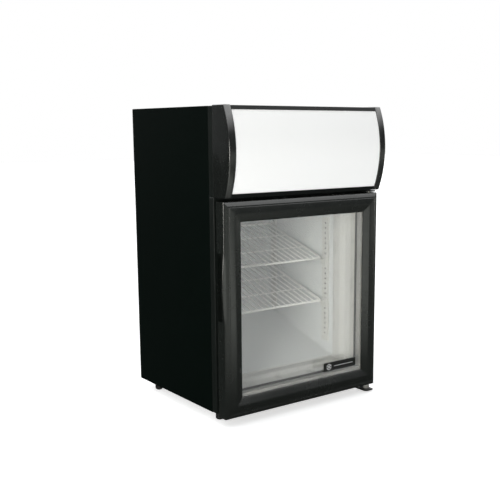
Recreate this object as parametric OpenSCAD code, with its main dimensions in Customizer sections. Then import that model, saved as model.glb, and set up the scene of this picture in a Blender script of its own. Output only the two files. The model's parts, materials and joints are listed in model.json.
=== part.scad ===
// Countertop glass door merchandiser: an insulated cabinet with one swinging glass door,
// two wire shelves, a lit sign box above the door and a top mounted cooling unit.
// X runs across the front, the door faces -Y and Z is up.
// The origin is on the floor, under the middle of the whole object.

/* [Cabinet] */
// Width of the cabinet
body_w = 430; // [400:1:480]
// Height of the cabinet without its feet
body_h = 651; // [640:1:680]
// Rear face of the cabinet, measured from the door seal datum
body_back = 335; // [325:1:400]
// Front face of the cabinet, measured from the door seal datum
body_front = -8; // [-8:1:-6]
// Height of the levelling feet
foot_h = 22; // [18:1:30]
// How far a levelling foot stands in from the side
foot_inset = 24; // [22:1:40]
// Depth of the front frame
frame_depth = 16; // [14:1:18]
// Thickness of the folded sheet steel
sheet = 1.2; // [1:0.1:1.6]

/* [Cold compartment] */
// Inner width between the liner walls
room_w = 350; // [330:1:352]
// Level of the ceiling above the cabinet's base
ceiling_z = 440; // [438:1:442]
// Level of the floor at its front edge
floor_z = 52; // [50:1:56]
// Where the sloping floor starts
floor_start = 66; // [62:1:70]
// Inner face of the rear wall
room_back = 318; // [310:1:320]
// Rise of the floor and the shelves toward the back, in degrees
slope = 17.2; // [0:0.1:18]
// Level of the upper shelf's front edge
upper_shelf_z = 293; // [285:1:296]
// Level of the lower shelf's front edge
lower_shelf_z = 187; // [182:1:190]
// Distance between the wires of a shelf
wire_pitch = 17; // [14:1:25]

/* [Door] */
// Width of the door
door_w = 430; // [400:1:480]
// Thickness of the door frame
door_t = 30; // [28:1:34]
// Lowest edge of the door
door_low = -4; // [-4:1:0]
// Highest edge of the door
door_high = 458; // [450:1:460]
// Width of the door frame members
member_w = 43; // [40:0.5:46]
// How far the frame's ridge stands in front of its edges
frame_crown = 6.5; // [5:0.5:8]
// How far the finger grip's lip stands out
grip_bow = 4; // [2:0.5:5]
// Length of the finger grip
grip_len = 150; // [120:1:170]
// Level of the finger grip's middle
grip_z = 279; // [220:1:300]

/* [Sign box] */
// Lowest edge of the sign box
sign_low = 465; // [464:1:467]
// Highest edge of the sign box
sign_high = 653; // [651:1:655]
// How far the curved sign stands in front of its own ends
sign_bulge = 20; // [10:1:26]
// Front corners of the sign box
sign_front = -49; // [-52:1:-47]
// Width of an end cap
cap_w = 17; // [14:1:22]

/* [Cooling unit] */
// Tip diameter of the condenser fan
big_fan_d = 110; // [90:1:120]
// Tip diameter of the evaporator fan
small_fan_d = 78; // [60:1:80]

/* [Hidden] */
$fn = 48;
eps = 0.01;

// The whole object's middle, so that the origin lies under it
cap_radius = (pow((sign_high - sign_low) / 2, 2) + pow(sign_bulge, 2)) / (2 * sign_bulge);
sign_mid_z = (sign_low + sign_high) / 2;
object_front = sign_front - sign_bulge;
shift_x = grip_bow / 2;
shift_y = -(object_front + body_back) / 2;

half_w = body_w / 2;
rear_sheet = body_back - 2;
machine_z = 466;
hem = 12;
hem_gap = 0.3;
slope_gain = tan(slope);

// Door
door_back = body_front - 5;
door_edge = door_back - door_t;
door_front = door_edge - frame_crown;
door_half = door_w / 2;
window_half = door_half - member_w;
window_low = door_low + member_w;
window_high = door_high - member_w;
glass_grip = 5;
front_glass = [door_edge + 1.4, 4];
rear_glass = [door_back - 8.5, 3.5];
inner_frame_t = 5;
frame_overlap = 9.8;
axis_x = door_half - 12;
axis_y = door_back - 17;
pin_r = 4;
bush_r = 7;
bush_h = 10;
hinge_plate = 3;

// Pilasters
front_rail_y = 93;
rear_rail_y = 305;
rail_w = 24;
rail_t = 3;
rail_low = 84;
rail_high = 392;

// Feet
foot_y_front = 17;
foot_y_rear = 286;
foot_r = 9;
stud_r = 4;
boss_h = 8;

// Fans
big_fan_x = -95;
big_fan_y = 262;
big_fan_z = 560;
small_fan_y = 205;
small_fan_z = 401;
shaft_r = 2;

// ---------- helpers ----------

// Puts the cabinet's own coordinates into the object's frame
module place() {
  translate([shift_x, shift_y, foot_h])
    children();
}

// A box from its low corner to its high corner
module span(low, high) {
  translate(low)
    cube(high - low);
}

// Extrudes an outline drawn in Y and Z along X, centred
module along_x(len) {
  translate([-len / 2, 0, 0])
    rotate([90, 0, 90])
      linear_extrude(len)
        children();
}

// Extrudes an outline drawn in X and Z from y0 toward +Y
module along_y(y0, len) {
  translate([0, y0, 0])
    rotate([90, 0, 0])
      mirror([0, 0, 1])
        linear_extrude(len)
          children();
}

// Copies the children to both sides of the cabinet
module both_sides() {
  children();
  mirror([1, 0, 0])
    children();
}

// Outline of a rectangle with round corners
function rounded(w, h, r, steps = 5) = [
  for (c = [0:3])
    for (i = [0:steps])
      let (a = 90 * c + 90 * i / steps)
        [(c == 0 || c == 3 ? 1 : -1) * (w / 2 - r) + r * cos(a),
         (c < 2 ? 1 : -1) * (h / 2 - r) + r * sin(a)]
];

// Height of a surface that starts at level z0 at depth y0 and rises toward the back
function rising(z0, y0, y) = z0 + (y - y0) * slope_gain;

// Points of the sign's front curve, set back by some distance, between two levels
function sign_curve(inset, z_from, z_to, steps = 14) = [
  for (i = [0:steps])
    let (z = z_from + (z_to - z_from) * i / steps)
      [object_front + cap_radius - sqrt(pow(cap_radius - inset, 2) - pow(z - sign_mid_z, 2)), z]
];

function backwards(points) = [for (i = [len(points) - 1:-1:0]) points[i]];

// ---------- cabinet ----------

module side_panel() {
  x0 = half_w - sheet;
  y0 = body_front + frame_depth;
  linear_extrude(body_h)
    polygon([
      [x0 - hem, y0], [half_w, y0], [half_w, rear_sheet], [x0 - hem, rear_sheet],
      [x0 - hem, rear_sheet - sheet], [x0, rear_sheet - sheet], [x0, y0 + sheet], [x0 - hem, y0 + sheet]
    ]);
}

module side_panel_right() {
  color([0.03, 0.035, 0.033])
    place()
      side_panel();
}

module side_panel_left() {
  color([0.03, 0.035, 0.033])
    place()
      mirror([1, 0, 0])
        side_panel();
}

module top_cover() {
  inner = half_w - sheet - hem - hem_gap;
  y0 = body_front + frame_depth;
  slot_rows = 6;
  color([0.03, 0.035, 0.033])
    place()
      difference() {
        union() {
          span([-half_w + sheet, y0 + sheet, body_h - sheet], [half_w - sheet, rear_sheet - sheet, body_h]);
          span([-inner, y0 + sheet, body_h - 18], [inner, y0 + 2 * sheet, body_h - sheet + eps]);
          span(
            [-inner, rear_sheet - 4 * sheet, body_h - 18],
            [inner, rear_sheet - 3 * sheet, body_h - sheet + eps]
          );
        }
        for (row = [0:slot_rows - 1], side = [-1, 1])
          span(
            [side * 95 - 60, 170 + 22 * row, body_h - 5],
            [side * 95 + 60, 175 + 22 * row, body_h + 1]
          );
      }
}

module back_panel() {
  color([0.55, 0.56, 0.56])
    place()
      span([-half_w, rear_sheet, 0], [half_w, rear_sheet + 1, machine_z]);
}

// Opening in the rear grille for the knob, the switch and the power inlet
control_x = 128;
control_z = 560;
control_w = 86;
control_h = 120;

module rear_grille() {
  slot_rows = 10;
  color([0.06, 0.065, 0.065])
    place()
      difference() {
        span([-half_w, rear_sheet, machine_z], [half_w, rear_sheet + 1, body_h]);
        for (row = [0:slot_rows - 1], column = [0:1])
          span(
            [-196 + 134 * column, rear_sheet - 1, machine_z + 22 + 14.5 * row],
            [-74 + 134 * column, rear_sheet + 2, machine_z + 29 + 14.5 * row]
          );
        span(
          [control_x - control_w / 2, rear_sheet - 1, control_z - control_h / 2],
          [control_x + control_w / 2, rear_sheet + 2, control_z + control_h / 2]
        );
      }
}

// A shallow tray with a threaded boss over each foot
module base_pan() {
  x1 = half_w - sheet;
  y0 = body_front + frame_depth + sheet;
  y1 = rear_sheet - sheet;
  lip = 14;
  color([0.2, 0.2, 0.2])
    place()
      difference() {
        union() {
          difference() {
            span([-x1, y0, 0], [x1, y1, lip]);
            span([-x1 + sheet, y0 + sheet, sheet], [x1 - sheet, y1 - sheet, lip + 1]);
          }
          for (side = [-1, 1], y = [foot_y_front, foot_y_rear])
            translate([side * (half_w - foot_inset), y, sheet - eps])
              intersection() {
                cylinder(h = boss_h, r = stud_r + 4);
                translate([-20, y0 + eps - y, 0])
                  cube([40, 40, boss_h]);
              }
        }
        for (side = [-1, 1], y = [foot_y_front, foot_y_rear])
          translate([side * (half_w - foot_inset), y, -1])
            cylinder(h = lip + 2, r = stud_r + 0.05);
      }
}

mouth_half = 180;
mouth_low = 38;
mouth_high = 446;

module front_frame() {
  r = 3;
  color([0.06, 0.065, 0.065])
    place()
      along_y(body_front, frame_depth)
        difference() {
          translate([0, machine_z / 2])
            polygon(rounded(body_w, machine_z, r));
          translate([0, (mouth_low + mouth_high) / 2])
            square([2 * mouth_half, mouth_high - mouth_low], center = true);
        }
}

module sign_fascia() {
  returns = 8;
  color([0.06, 0.065, 0.065])
    place()
      difference() {
        span([-half_w, body_front, machine_z], [half_w, body_front + frame_depth, body_h]);
        span(
          [-half_w + returns, body_front + 2, machine_z + returns],
          [half_w - returns, body_front + frame_depth + 1, body_h - returns]
        );
      }
}

// Inside of the cold compartment as an outline in Y and Z, grown by some thickness
function room_outline(grow) = [
  [floor_start, floor_z - grow],
  [room_back + grow, rising(floor_z - grow, floor_start, room_back + grow)],
  [room_back + grow, ceiling_z + grow],
  [floor_start, ceiling_z + grow]
];

liner_t = 2;

module inner_liner() {
  color([0.85, 0.86, 0.84])
    place()
      difference() {
        along_x(room_w + 2 * liner_t)
          polygon(room_outline(liner_t));
        translate([0, -eps, 0])
          along_x(room_w)
            polygon(room_outline(0));
        span([-room_w / 2, floor_start - 1, floor_z], [room_w / 2, floor_start + 1, ceiling_z]);
      }
}

// Mouth of the compartment at several depths: half width, floor level and roof level.
// It narrows behind the front frame, and its first and last points reach past its faces.
mouth_sections = [
  [body_front - 1, 178, 43, 440], [24, 178, 44, 440], [46, 172, 50, 434], [62, 172, 50, 434],
  [floor_start, room_w / 2, floor_z, ceiling_z], [floor_start + 1, room_w / 2, floor_z, ceiling_z]
];

module mouth_breaker() {
  plan = [for (m = mouth_sections) [m[1], m[0]]];
  floor_line = [for (m = mouth_sections) [m[0], m[2]]];
  roof_line = [for (m = mouth_sections) [m[0], m[3]]];
  color([0.88, 0.88, 0.85])
    place()
      difference() {
        union() {
          span([-mouth_half, body_front, mouth_low], [mouth_half, body_front + frame_depth + 1, mouth_high]);
          span(
            [-mouth_half - 2, body_front + frame_depth, mouth_low],
            [mouth_half + 2, floor_start, mouth_high]
          );
        }
        intersection() {
          linear_extrude(body_h)
            polygon(concat(plan, backwards([for (p = plan) [-p[0], p[1]]])));
          along_x(body_w)
            polygon(concat(floor_line, backwards(roof_line)));
        }
      }
}

module insulation_foam() {
  x_hem = half_w - sheet - hem - hem_gap;
  x_full = half_w - sheet;
  y0 = body_front + frame_depth;
  foam_low = 16;
  color([0.93, 0.85, 0.6])
    place()
      difference() {
        union() {
          span([-x_hem, y0, foam_low], [x_hem, rear_sheet, machine_z]);
          span([-x_full, y0 + 2 * sheet, foam_low], [x_full, rear_sheet - 2 * sheet, machine_z]);
        }
        along_x(room_w + 2 * liner_t)
          polygon(room_outline(liner_t));
        span([-mouth_half - 2, 0, mouth_low], [mouth_half + 2, floor_start + eps, mouth_high]);
      }
}

module machine_deck() {
  x1 = half_w - sheet - hem - hem_gap;
  color([0.6, 0.61, 0.62])
    place()
      span([-x1, body_front + frame_depth, machine_z], [x1, rear_sheet, machine_z + sheet]);
}

// ---------- shelves ----------

// A slotted channel on the right wall. One behind stands clear of the rising floor.
module pilaster(y) {
  slot_pitch = 12.5;
  low = max(rail_low, rising(floor_z, floor_start, y + rail_w / 2) + 2);
  x1 = room_w / 2;
  difference() {
    span([x1 - rail_t, y - rail_w / 2, low], [x1, y + rail_w / 2, rail_high]);
    span([x1 - rail_t + 1.2, y - rail_w / 2 + 5, low - 1], [x1 + 1, y + rail_w / 2 - 5, rail_high + 1]);
    for (z = [rail_high - 16:-slot_pitch:low + 6])
      span([x1 - rail_t - 1, y - 3, z], [x1 - rail_t + 2, y + 3, z + 4]);
  }
}

module shelf_pilasters() {
  color([0.85, 0.85, 0.83])
    place()
      both_sides()
        for (y = [front_rail_y, rear_rail_y])
          pilaster(y);
}

shelf_half = 160;
shelf_front = 94;
shelf_len = 222;
frame_rod = 2.5;
thin_rod = 1.5;

// A clip is a plate on a pilaster with a ledge just under the shelf's side rod
module clip(y, z) {
  x1 = room_w / 2 - rail_t;
  ledge = -frame_rod - 1.4;
  translate([0, y, z]) {
    span([x1 - 2, -9, -20], [x1, 9, 3]);
    span([shelf_half - frame_rod, -4, ledge - 2.5], [x1 - 2 + eps, 4, ledge]);
  }
}

module shelf_clips() {
  color([0.88, 0.88, 0.86])
    place()
      both_sides()
        for (z = [upper_shelf_z, lower_shelf_z])
          for (y = [front_rail_y + 6, rear_rail_y - 4])
            clip(y, rising(z, shelf_front, y));
}

module wire_shelf() {
  count = floor((2 * shelf_half - 12) / wire_pitch);
  first = -count * wire_pitch / 2;
  for (x = [-shelf_half, shelf_half])
    translate([x, 0, 0])
      rotate([-90, 0, 0])
        cylinder(h = shelf_len, r = frame_rod);
  for (y = [0, shelf_len])
    translate([-shelf_half, y, 0])
      rotate([0, 90, 0])
        cylinder(h = 2 * shelf_half, r = frame_rod);
  for (x = [-shelf_half, shelf_half], y = [0, shelf_len])
    translate([x, y, 0])
      sphere(r = frame_rod);
  for (y = [shelf_len * 0.33, shelf_len * 0.67])
    translate([-shelf_half, y, -frame_rod + thin_rod - 1])
      rotate([0, 90, 0])
        cylinder(h = 2 * shelf_half, r = thin_rod);
  for (i = [0:count])
    translate([first + wire_pitch * i, 0, frame_rod - 0.5])
      rotate([-90, 0, 0])
        cylinder(h = shelf_len, r = thin_rod);
}

module shelf_at(z) {
  translate([0, shelf_front, z])
    rotate([slope, 0, 0])
      wire_shelf();
}

module shelf_upper() {
  color([0.9, 0.9, 0.88])
    place()
      shelf_at(upper_shelf_z);
}

module shelf_lower() {
  color([0.9, 0.9, 0.88])
    place()
      shelf_at(lower_shelf_z);
}

// ---------- evaporator, under the ceiling ----------

cover_half = 122;
cover_front = 152;
cover_back = 312;
cover_low = 396;

module evaporator_cover() {
  t = 2;
  guard_rings = 4;
  color([0.87, 0.87, 0.85])
    place()
      difference() {
        span([-cover_half, cover_front, cover_low], [cover_half, cover_back, ceiling_z]);
        span(
          [-cover_half + t, cover_front + t, cover_low + t],
          [cover_half - t, cover_back - t, ceiling_z + 1]
        );
        translate([0, small_fan_y, cover_low - 1])
          for (ring = [0:guard_rings - 1])
            difference() {
              cylinder(h = 4, r = 14 + 8 * ring);
              translate([0, 0, -1])
                cylinder(h = 6, r = 9 + 8 * ring);
              for (turn = [0:45:135])
                rotate([0, 0, turn])
                  translate([-60, -1.5, -1])
                    cube([120, 3, 6]);
            }
        for (i = [0:16])
          span(
            [-100 + 12 * i, cover_front - 1, cover_low + 10],
            [-92 + 12 * i, cover_front + t + 1, ceiling_z - 8]
          );
      }
}

// Block of fins with bent tubes at both ends
module coil_block(half, y0, y1, z0, z1, tube_r, rows) {
  rise = (z1 - z0) / rows;
  mid = (y0 + y1) / 2;
  difference() {
    span([-half, y0, z0], [half, y1, z1]);
    for (i = [1:11])
      span(
        [-half + 2 * half * i / 12 - 1.5, y0 - 1, z0 + 2],
        [-half + 2 * half * i / 12 + 1.5, y0 + 3, z1 - 2]
      );
  }
  for (side = [-1, 1])
    for (i = [0:rows - 1])
      translate([side * half, mid, z0 + rise * (i + 0.5)])
        rotate([0, 0, side > 0 ? 0 : 180])
          rotate([0, 0, -90])
            rotate_extrude(angle = 180)
              translate([(y1 - y0) / 4, 0])
                circle(r = tube_r);
}

module evaporator_coil() {
  color([0.7, 0.72, 0.73])
    place()
      coil_block(100, 254, 302, 408, ceiling_z, 3.5, 2);
}

// Axial fan: a hub with a bore and pitched blades around Z
module fan(tip_r, hub_r, height, blades) {
  difference() {
    union() {
      cylinder(h = height, r = hub_r);
      for (i = [0:blades - 1])
        rotate([0, 0, 360 / blades * i])
          intersection() {
            translate([0, 0, height / 2])
              rotate([28, 0, 0])
                translate([hub_r - 1, -hub_r * 0.8, -0.8])
                  cube([tip_r, hub_r * 1.6, 1.6]);
            cylinder(h = height, r = tip_r);
          }
    }
    translate([0, 0, -1])
      cylinder(h = height + 2, r = shaft_r + 0.05);
  }
}

module evaporator_fan() {
  color([0.15, 0.15, 0.15])
    place()
      translate([0, small_fan_y, small_fan_z])
        fan(small_fan_d / 2, 13, 11, 5);
}

module evaporator_fan_motor() {
  z0 = small_fan_z + 11.4;
  motor_h = 18;
  color([0.25, 0.25, 0.26])
    place()
      translate([0, small_fan_y, z0]) {
        cylinder(h = motor_h, r = 15);
        translate([0, 0, -10])
          cylinder(h = 10 + eps, r = shaft_r);
        span([-56, -6, motor_h - eps], [56, 6, motor_h + 2]);
        for (side = [-1, 1])
          span([side * 54 - 2, -6, motor_h + 2 - eps], [side * 54 + 2, 6, ceiling_z - z0]);
      }
}

module room_lamp() {
  color([0.97, 0.97, 0.93])
    place()
      along_x(260)
        polygon([
          [92, ceiling_z], [92, ceiling_z - 5], [96, ceiling_z - 11], [108, ceiling_z - 11],
          [112, ceiling_z - 5], [112, ceiling_z]
        ]);
}

// ---------- sign box ----------

cap_x = half_w - cap_w;
tray_t = 1.5;
tray_low = sign_low + 2.5;
tray_high = body_h - 1;
tray_front = sign_front + 9;

module sign_housing() {
  color([0.9, 0.9, 0.9])
    place()
      along_x(2 * cap_x)
        polygon([
          [body_front, tray_low], [body_front, tray_high], [tray_front, tray_high],
          [tray_front, tray_high - tray_t], [body_front - tray_t, tray_high - tray_t],
          [body_front - tray_t, tray_low + tray_t], [tray_front, tray_low + tray_t], [tray_front, tray_low]
        ]);
}

trim_h = 8.5;
panel_set_back = 1.8;
panel_t = 2.5;
panel_low = sign_low + 5;
panel_high = sign_high - 7;

module panel_outline(slack) {
  polygon(concat(
    sign_curve(panel_set_back - slack, panel_low - slack, panel_high + slack),
    backwards(sign_curve(panel_set_back + panel_t + slack, panel_low - slack, panel_high + slack))
  ));
}

module sign_panel() {
  color([0.97, 0.98, 0.98])
    place()
      along_x(2 * cap_x)
        panel_outline(0);
}

module sign_trim(z_from, z_to) {
  along_x(2 * cap_x)
    difference() {
      polygon(concat(
        sign_curve(0.3, z_from, z_to, 2),
        [[tray_front, z_to], [tray_front, z_from]]
      ));
      panel_outline(0.15);
    }
}

module sign_top_trim() {
  color([0.05, 0.052, 0.055])
    place()
      sign_trim(sign_high - 1.5 - trim_h, sign_high - 1.5);
}

module sign_bottom_trim() {
  color([0.05, 0.052, 0.055])
    place()
      sign_trim(sign_low + 0.5, sign_low + 0.5 + trim_h);
}

module cap() {
  wall = 2.2;
  difference() {
    translate([cap_x + cap_w / 2, 0, 0])
      along_x(cap_w)
        polygon(concat(
          sign_curve(0, sign_low, sign_high),
          [[body_front, sign_high], [body_front, sign_low]]
        ));
    translate([cap_x + cap_w / 2 - wall, 0, 0])
      along_x(cap_w + eps)
        polygon(concat(
          sign_curve(wall + 2.6, sign_low + wall, sign_high - wall),
          [[body_front - wall, sign_high - wall], [body_front - wall, sign_low + wall]]
        ));
  }
}

module sign_cap_right() {
  color([0.05, 0.052, 0.055])
    place()
      cap();
}

module sign_cap_left() {
  color([0.05, 0.052, 0.055])
    place()
      mirror([1, 0, 0])
        cap();
}

tube_r = 8;
tube_half = 144;
tube_y = -38;
tube_levels = [520, 600];

module sign_tubes() {
  color([0.98, 0.98, 0.96])
    place()
      for (z = tube_levels)
        translate([-tube_half, tube_y, z])
          rotate([0, 90, 0])
            cylinder(h = 2 * tube_half, r = tube_r);
}

module sign_tube_holders() {
  color([0.92, 0.92, 0.9])
    place()
      both_sides()
        for (z = tube_levels)
          difference() {
            span([tube_half - 8, tube_y - 11, z - 11], [tube_half + 12, body_front - tray_t, z + 11]);
            translate([tube_half - 9, tube_y, z])
              rotate([0, 90, 0])
                cylinder(h = 9, r = tube_r);
          }
}

// ---------- door ----------

// Section of a frame member: depth behind the ridge, and distance from the inner edge.
// A thin nose covers the edge of the glass. The face rises steeply to the ridge and falls
// away gently to a nearly sharp outer edge.
module member_section() {
  nose = front_glass[0] - door_front;
  seat = rear_glass[0] + rear_glass[1] - door_front;
  edge = member_w;
  ridge = 16.6;
  crown = frame_crown;
  rear = frame_crown + door_t;
  round_back = 5;
  polygon([
    [nose, 0], [crown + 0.3, 0], [crown - 0.5, 0.7], [0.5, ridge - 1.4], [0, ridge], [0, ridge + 1.6],
    [1.1, ridge + 9], [2.8, edge - 9], [crown - 0.2, edge - 0.6], [crown + 0.8, edge],
    [rear - round_back, edge], [rear, edge - round_back],
    [rear, frame_overlap + 0.2], [seat, frame_overlap + 0.2], [seat, glass_grip + 0.2],
    [nose, glass_grip + 0.2]
  ]);
}

// A member that runs along X with its outer edge up and its inner edge at 0, mitred at both ends
module member(half_len) {
  intersection() {
    translate([0, door_front, 0])
      along_x(2 * half_len)
        member_section();
    along_y(door_front - 1, frame_crown + door_t + 2)
      polygon([
        [-half_len - 1, member_w + 1], [half_len + 1, member_w + 1],
        [half_len - member_w - 1, -1], [-half_len + member_w + 1, -1]
      ]);
  }
}

door_mid_z = (door_low + door_high) / 2;
door_half_h = (door_high - door_low) / 2;

module stile() {
  translate([door_half - member_w, 0, door_mid_z])
    rotate([0, 90, 0])
      member(door_half_h);
}

// Seats for the hinge bushes, each partly in the right stile and partly in a rail
module bush_seats() {
  for (z = [door_low - bush_h, door_high - bush_h])
    translate([axis_x, axis_y, z])
      cylinder(h = 2 * bush_h, r = bush_r);
}

module door_rail_top() {
  color([0.1, 0.105, 0.1])
    place()
      difference() {
        translate([0, 0, door_high - member_w])
          member(door_half);
        bush_seats();
      }
}

module door_rail_bottom() {
  color([0.1, 0.105, 0.1])
    place()
      difference() {
        translate([0, 0, door_low + member_w])
          mirror([0, 0, 1])
            member(door_half);
        bush_seats();
      }
}

module door_stile_right() {
  color([0.1, 0.105, 0.1])
    place()
      difference() {
        stile();
        bush_seats();
      }
}

module door_stile_left() {
  lip_radius = (pow(grip_len / 2, 2) + pow(grip_bow, 2)) / (2 * grip_bow);
  half_turn = asin(grip_len / 2 / lip_radius);
  steps = 12;
  recess = 12;
  color([0.1, 0.105, 0.1])
    place()
      difference() {
        union() {
          mirror([1, 0, 0])
            stile();
          along_y(door_edge + 0.8, 4)
            polygon(concat(
              [for (i = [0:steps])
                let (a = half_turn * (2 * i / steps - 1))
                  [-door_half - grip_bow + lip_radius * (1 - cos(a)), grip_z + lip_radius * sin(a)]],
              [[-door_half + 5, grip_z + grip_len / 2], [-door_half + 5, grip_z - grip_len / 2]]
            ));
        }
        along_y(door_edge + 7, 18)
          translate([-door_half, grip_z])
            polygon(rounded(2 * recess, grip_len - 6, 6));
      }
}

module pane(y0, t, half, low, high) {
  span([-half, y0, low], [half, y0 + t, high]);
}

glass_half = window_half + glass_grip;
glass_low = window_low - glass_grip;
glass_high = window_high + glass_grip;

module door_glass_front() {
  color([0.75, 0.85, 0.83, 0.35])
    place()
      pane(front_glass[0], front_glass[1], glass_half, glass_low, glass_high);
}

module door_glass_rear() {
  color([0.75, 0.85, 0.83, 0.35])
    place()
      pane(rear_glass[0], rear_glass[1], glass_half, glass_low, glass_high);
}

// Flat ring about the window. Each outline is its half width, its low edge and its high edge.
module ring(y0, t, outer, opening) {
  difference() {
    span([-outer[0], y0, outer[1]], [outer[0], y0 + t, outer[2]]);
    span([-opening[0], y0 - 1, opening[1]], [opening[0], y0 + t + 1, opening[2]]);
  }
}

module door_glass_spacer() {
  y0 = front_glass[0] + front_glass[1];
  sill = 6.4;
  color([0.55, 0.57, 0.55])
    place()
      ring(
        y0, rear_glass[0] - y0, [glass_half, glass_low, glass_high],
        [window_half - 0.2, window_low + sill, window_high - 0.2]
      );
}

module door_inner_frame() {
  sill = 9.6;
  color([0.08, 0.08, 0.08])
    place()
      ring(
        door_back - inner_frame_t, inner_frame_t,
        [window_half + frame_overlap, window_low - frame_overlap, window_high + frame_overlap],
        [window_half - 0.8, window_low + sill, window_high - 0.8]
      );
}

module door_gasket() {
  half = axis_x - 4;
  low = door_low + 14;
  high = door_high - 4;
  base_w = 16;
  lip = 3;
  lip_w = 10;
  color([0.12, 0.12, 0.12])
    place() {
      ring(door_back, 2, [half, low, high], [half - base_w, low + base_w, high - base_w]);
      ring(
        door_back + 2 - eps, 2.7, [half - lip, low + lip, high - lip],
        [half - lip - lip_w, low + lip + lip_w, high - lip - lip_w]
      );
    }
}

module bush(z0) {
  translate([axis_x, axis_y, z0])
    difference() {
      cylinder(h = bush_h, r = bush_r);
      translate([0, 0, -1])
        cylinder(h = bush_h + 2, r = pin_r + 0.08);
    }
}

module door_bushes() {
  color([0.85, 0.84, 0.8])
    place() {
      bush(door_low);
      bush(door_high - bush_h);
    }
}

module door_badge() {
  color([0.02, 0.02, 0.02])
    place()
      along_y(front_glass[0] - 1, 1)
        translate([106, 62])
          polygon(rounded(98, 21, 2));
}

// ---------- hinges ----------

flange_x = axis_x - 1;
bracket_x = half_w - 28;
bottom_plate_z = -19;
top_plate_z = door_high + 2;

module hinge_bracket_bottom() {
  color([0.06, 0.065, 0.065])
    place() {
      span([bracket_x, -46, bottom_plate_z], [half_w - 2, body_front, bottom_plate_z + hinge_plate]);
      span([flange_x, body_front - 2, bottom_plate_z + hinge_plate - eps], [half_w - 2, body_front, 40]);
    }
}

module hinge_bracket_top() {
  color([0.06, 0.065, 0.065])
    place() {
      span([bracket_x, -42, top_plate_z], [half_w - 2, body_front, top_plate_z + hinge_plate]);
      span([flange_x, body_front - 2, 420], [half_w - 2, body_front, top_plate_z + eps]);
    }
}

module hinge_pins() {
  collar_top = door_low - 0.4;
  color([0.7, 0.7, 0.7])
    place()
      translate([axis_x, axis_y, 0]) {
        translate([0, 0, bottom_plate_z + hinge_plate])
          cylinder(h = collar_top - bottom_plate_z - hinge_plate, r = 7);
        translate([0, 0, collar_top - eps])
          cylinder(h = bush_h - 1, r = pin_r);
        translate([0, 0, door_high - bush_h + 1])
          cylinder(h = top_plate_z - door_high + bush_h - 1, r = pin_r);
      }
}

// ---------- cooling unit ----------

comp_x = 95;
comp_y = 215;
comp_base = machine_z + sheet;

module compressor() {
  color([0.04, 0.04, 0.045])
    place()
      translate([comp_x, comp_y, comp_base + 12]) {
        difference() {
          translate([0, 0, 1.5])
            cube([170, 110, 3], center = true);
          for (x = [-1, 1], y = [-1, 1])
            translate([76 * x, 44 * y, -1])
              cylinder(h = 6, r = 5);
        }
        rotate_extrude()
          polygon([
            [0, 2.9], [48, 2.9], [56, 14], [58, 30], [58, 62], [60, 63], [60, 68], [58, 69],
            [57, 96], [50, 112], [36, 121], [0, 125]
          ]);
      }
}

module compressor_mounts() {
  color([0.1, 0.1, 0.1])
    place()
      for (x = [-1, 1], y = [-1, 1])
        translate([comp_x + 76 * x, comp_y + 44 * y, comp_base]) {
          cylinder(h = 12, r = 10);
          translate([0, 0, 12 - eps])
            cylinder(h = 3 + eps, r = 4.8);
          translate([0, 0, 15 - eps])
            cylinder(h = 4, r = 9);
        }
}

coil_y = 292;

module condenser_coil() {
  color([0.35, 0.3, 0.27])
    place()
      translate([big_fan_x, 0, 0])
        coil_block(82, coil_y, coil_y + 26, comp_base, comp_base + 168, 4, 6);
}

shroud_y = big_fan_y + 14;

module condenser_fan_shroud() {
  color([0.3, 0.31, 0.32])
    place()
      difference() {
        span([big_fan_x - 90, shroud_y, comp_base], [big_fan_x + 90, shroud_y + 1.5, comp_base + 172]);
        translate([big_fan_x, shroud_y - 1, big_fan_z])
          rotate([-90, 0, 0])
            cylinder(h = 4, r = big_fan_d / 2 + 3);
      }
}

// Motor in front of the fan, on a strap with two arms back to the shroud
module condenser_fan_motor() {
  strap_y = big_fan_y - 14;
  color([0.25, 0.25, 0.26])
    place()
      translate([big_fan_x, 0, big_fan_z]) {
        for (side = [-1, 1])
          span([side * 64 - 3, strap_y, -6], [side * 64 + 3, shroud_y, 6]);
        span([-66, strap_y, -6], [66, strap_y + 2, 6]);
        translate([0, strap_y - 36, 0])
          rotate([-90, 0, 0])
            cylinder(h = 36 + eps, r = 24);
        translate([0, strap_y, 0])
          rotate([-90, 0, 0])
            cylinder(h = 18, r = shaft_r);
      }
}

module condenser_fan() {
  color([0.75, 0.76, 0.76])
    place()
      translate([big_fan_x, big_fan_y - 9, big_fan_z])
        rotate([-90, 0, 0])
          fan(big_fan_d / 2, 18, 16, 5);
}

plate_y = rear_sheet - 22;
knob_z = control_z + 30;
rocker_z = control_z - 5;
inlet_z = control_z - 38;
knob_r = 17;
rocker_w = 13;
rocker_h = 19;
switch_w = 17;
switch_h = 25;
pivot_half = 7.6;
pivot_r = 1.4;
inlet_w = 29;
inlet_h = 21;
collar_r = 6;

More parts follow.
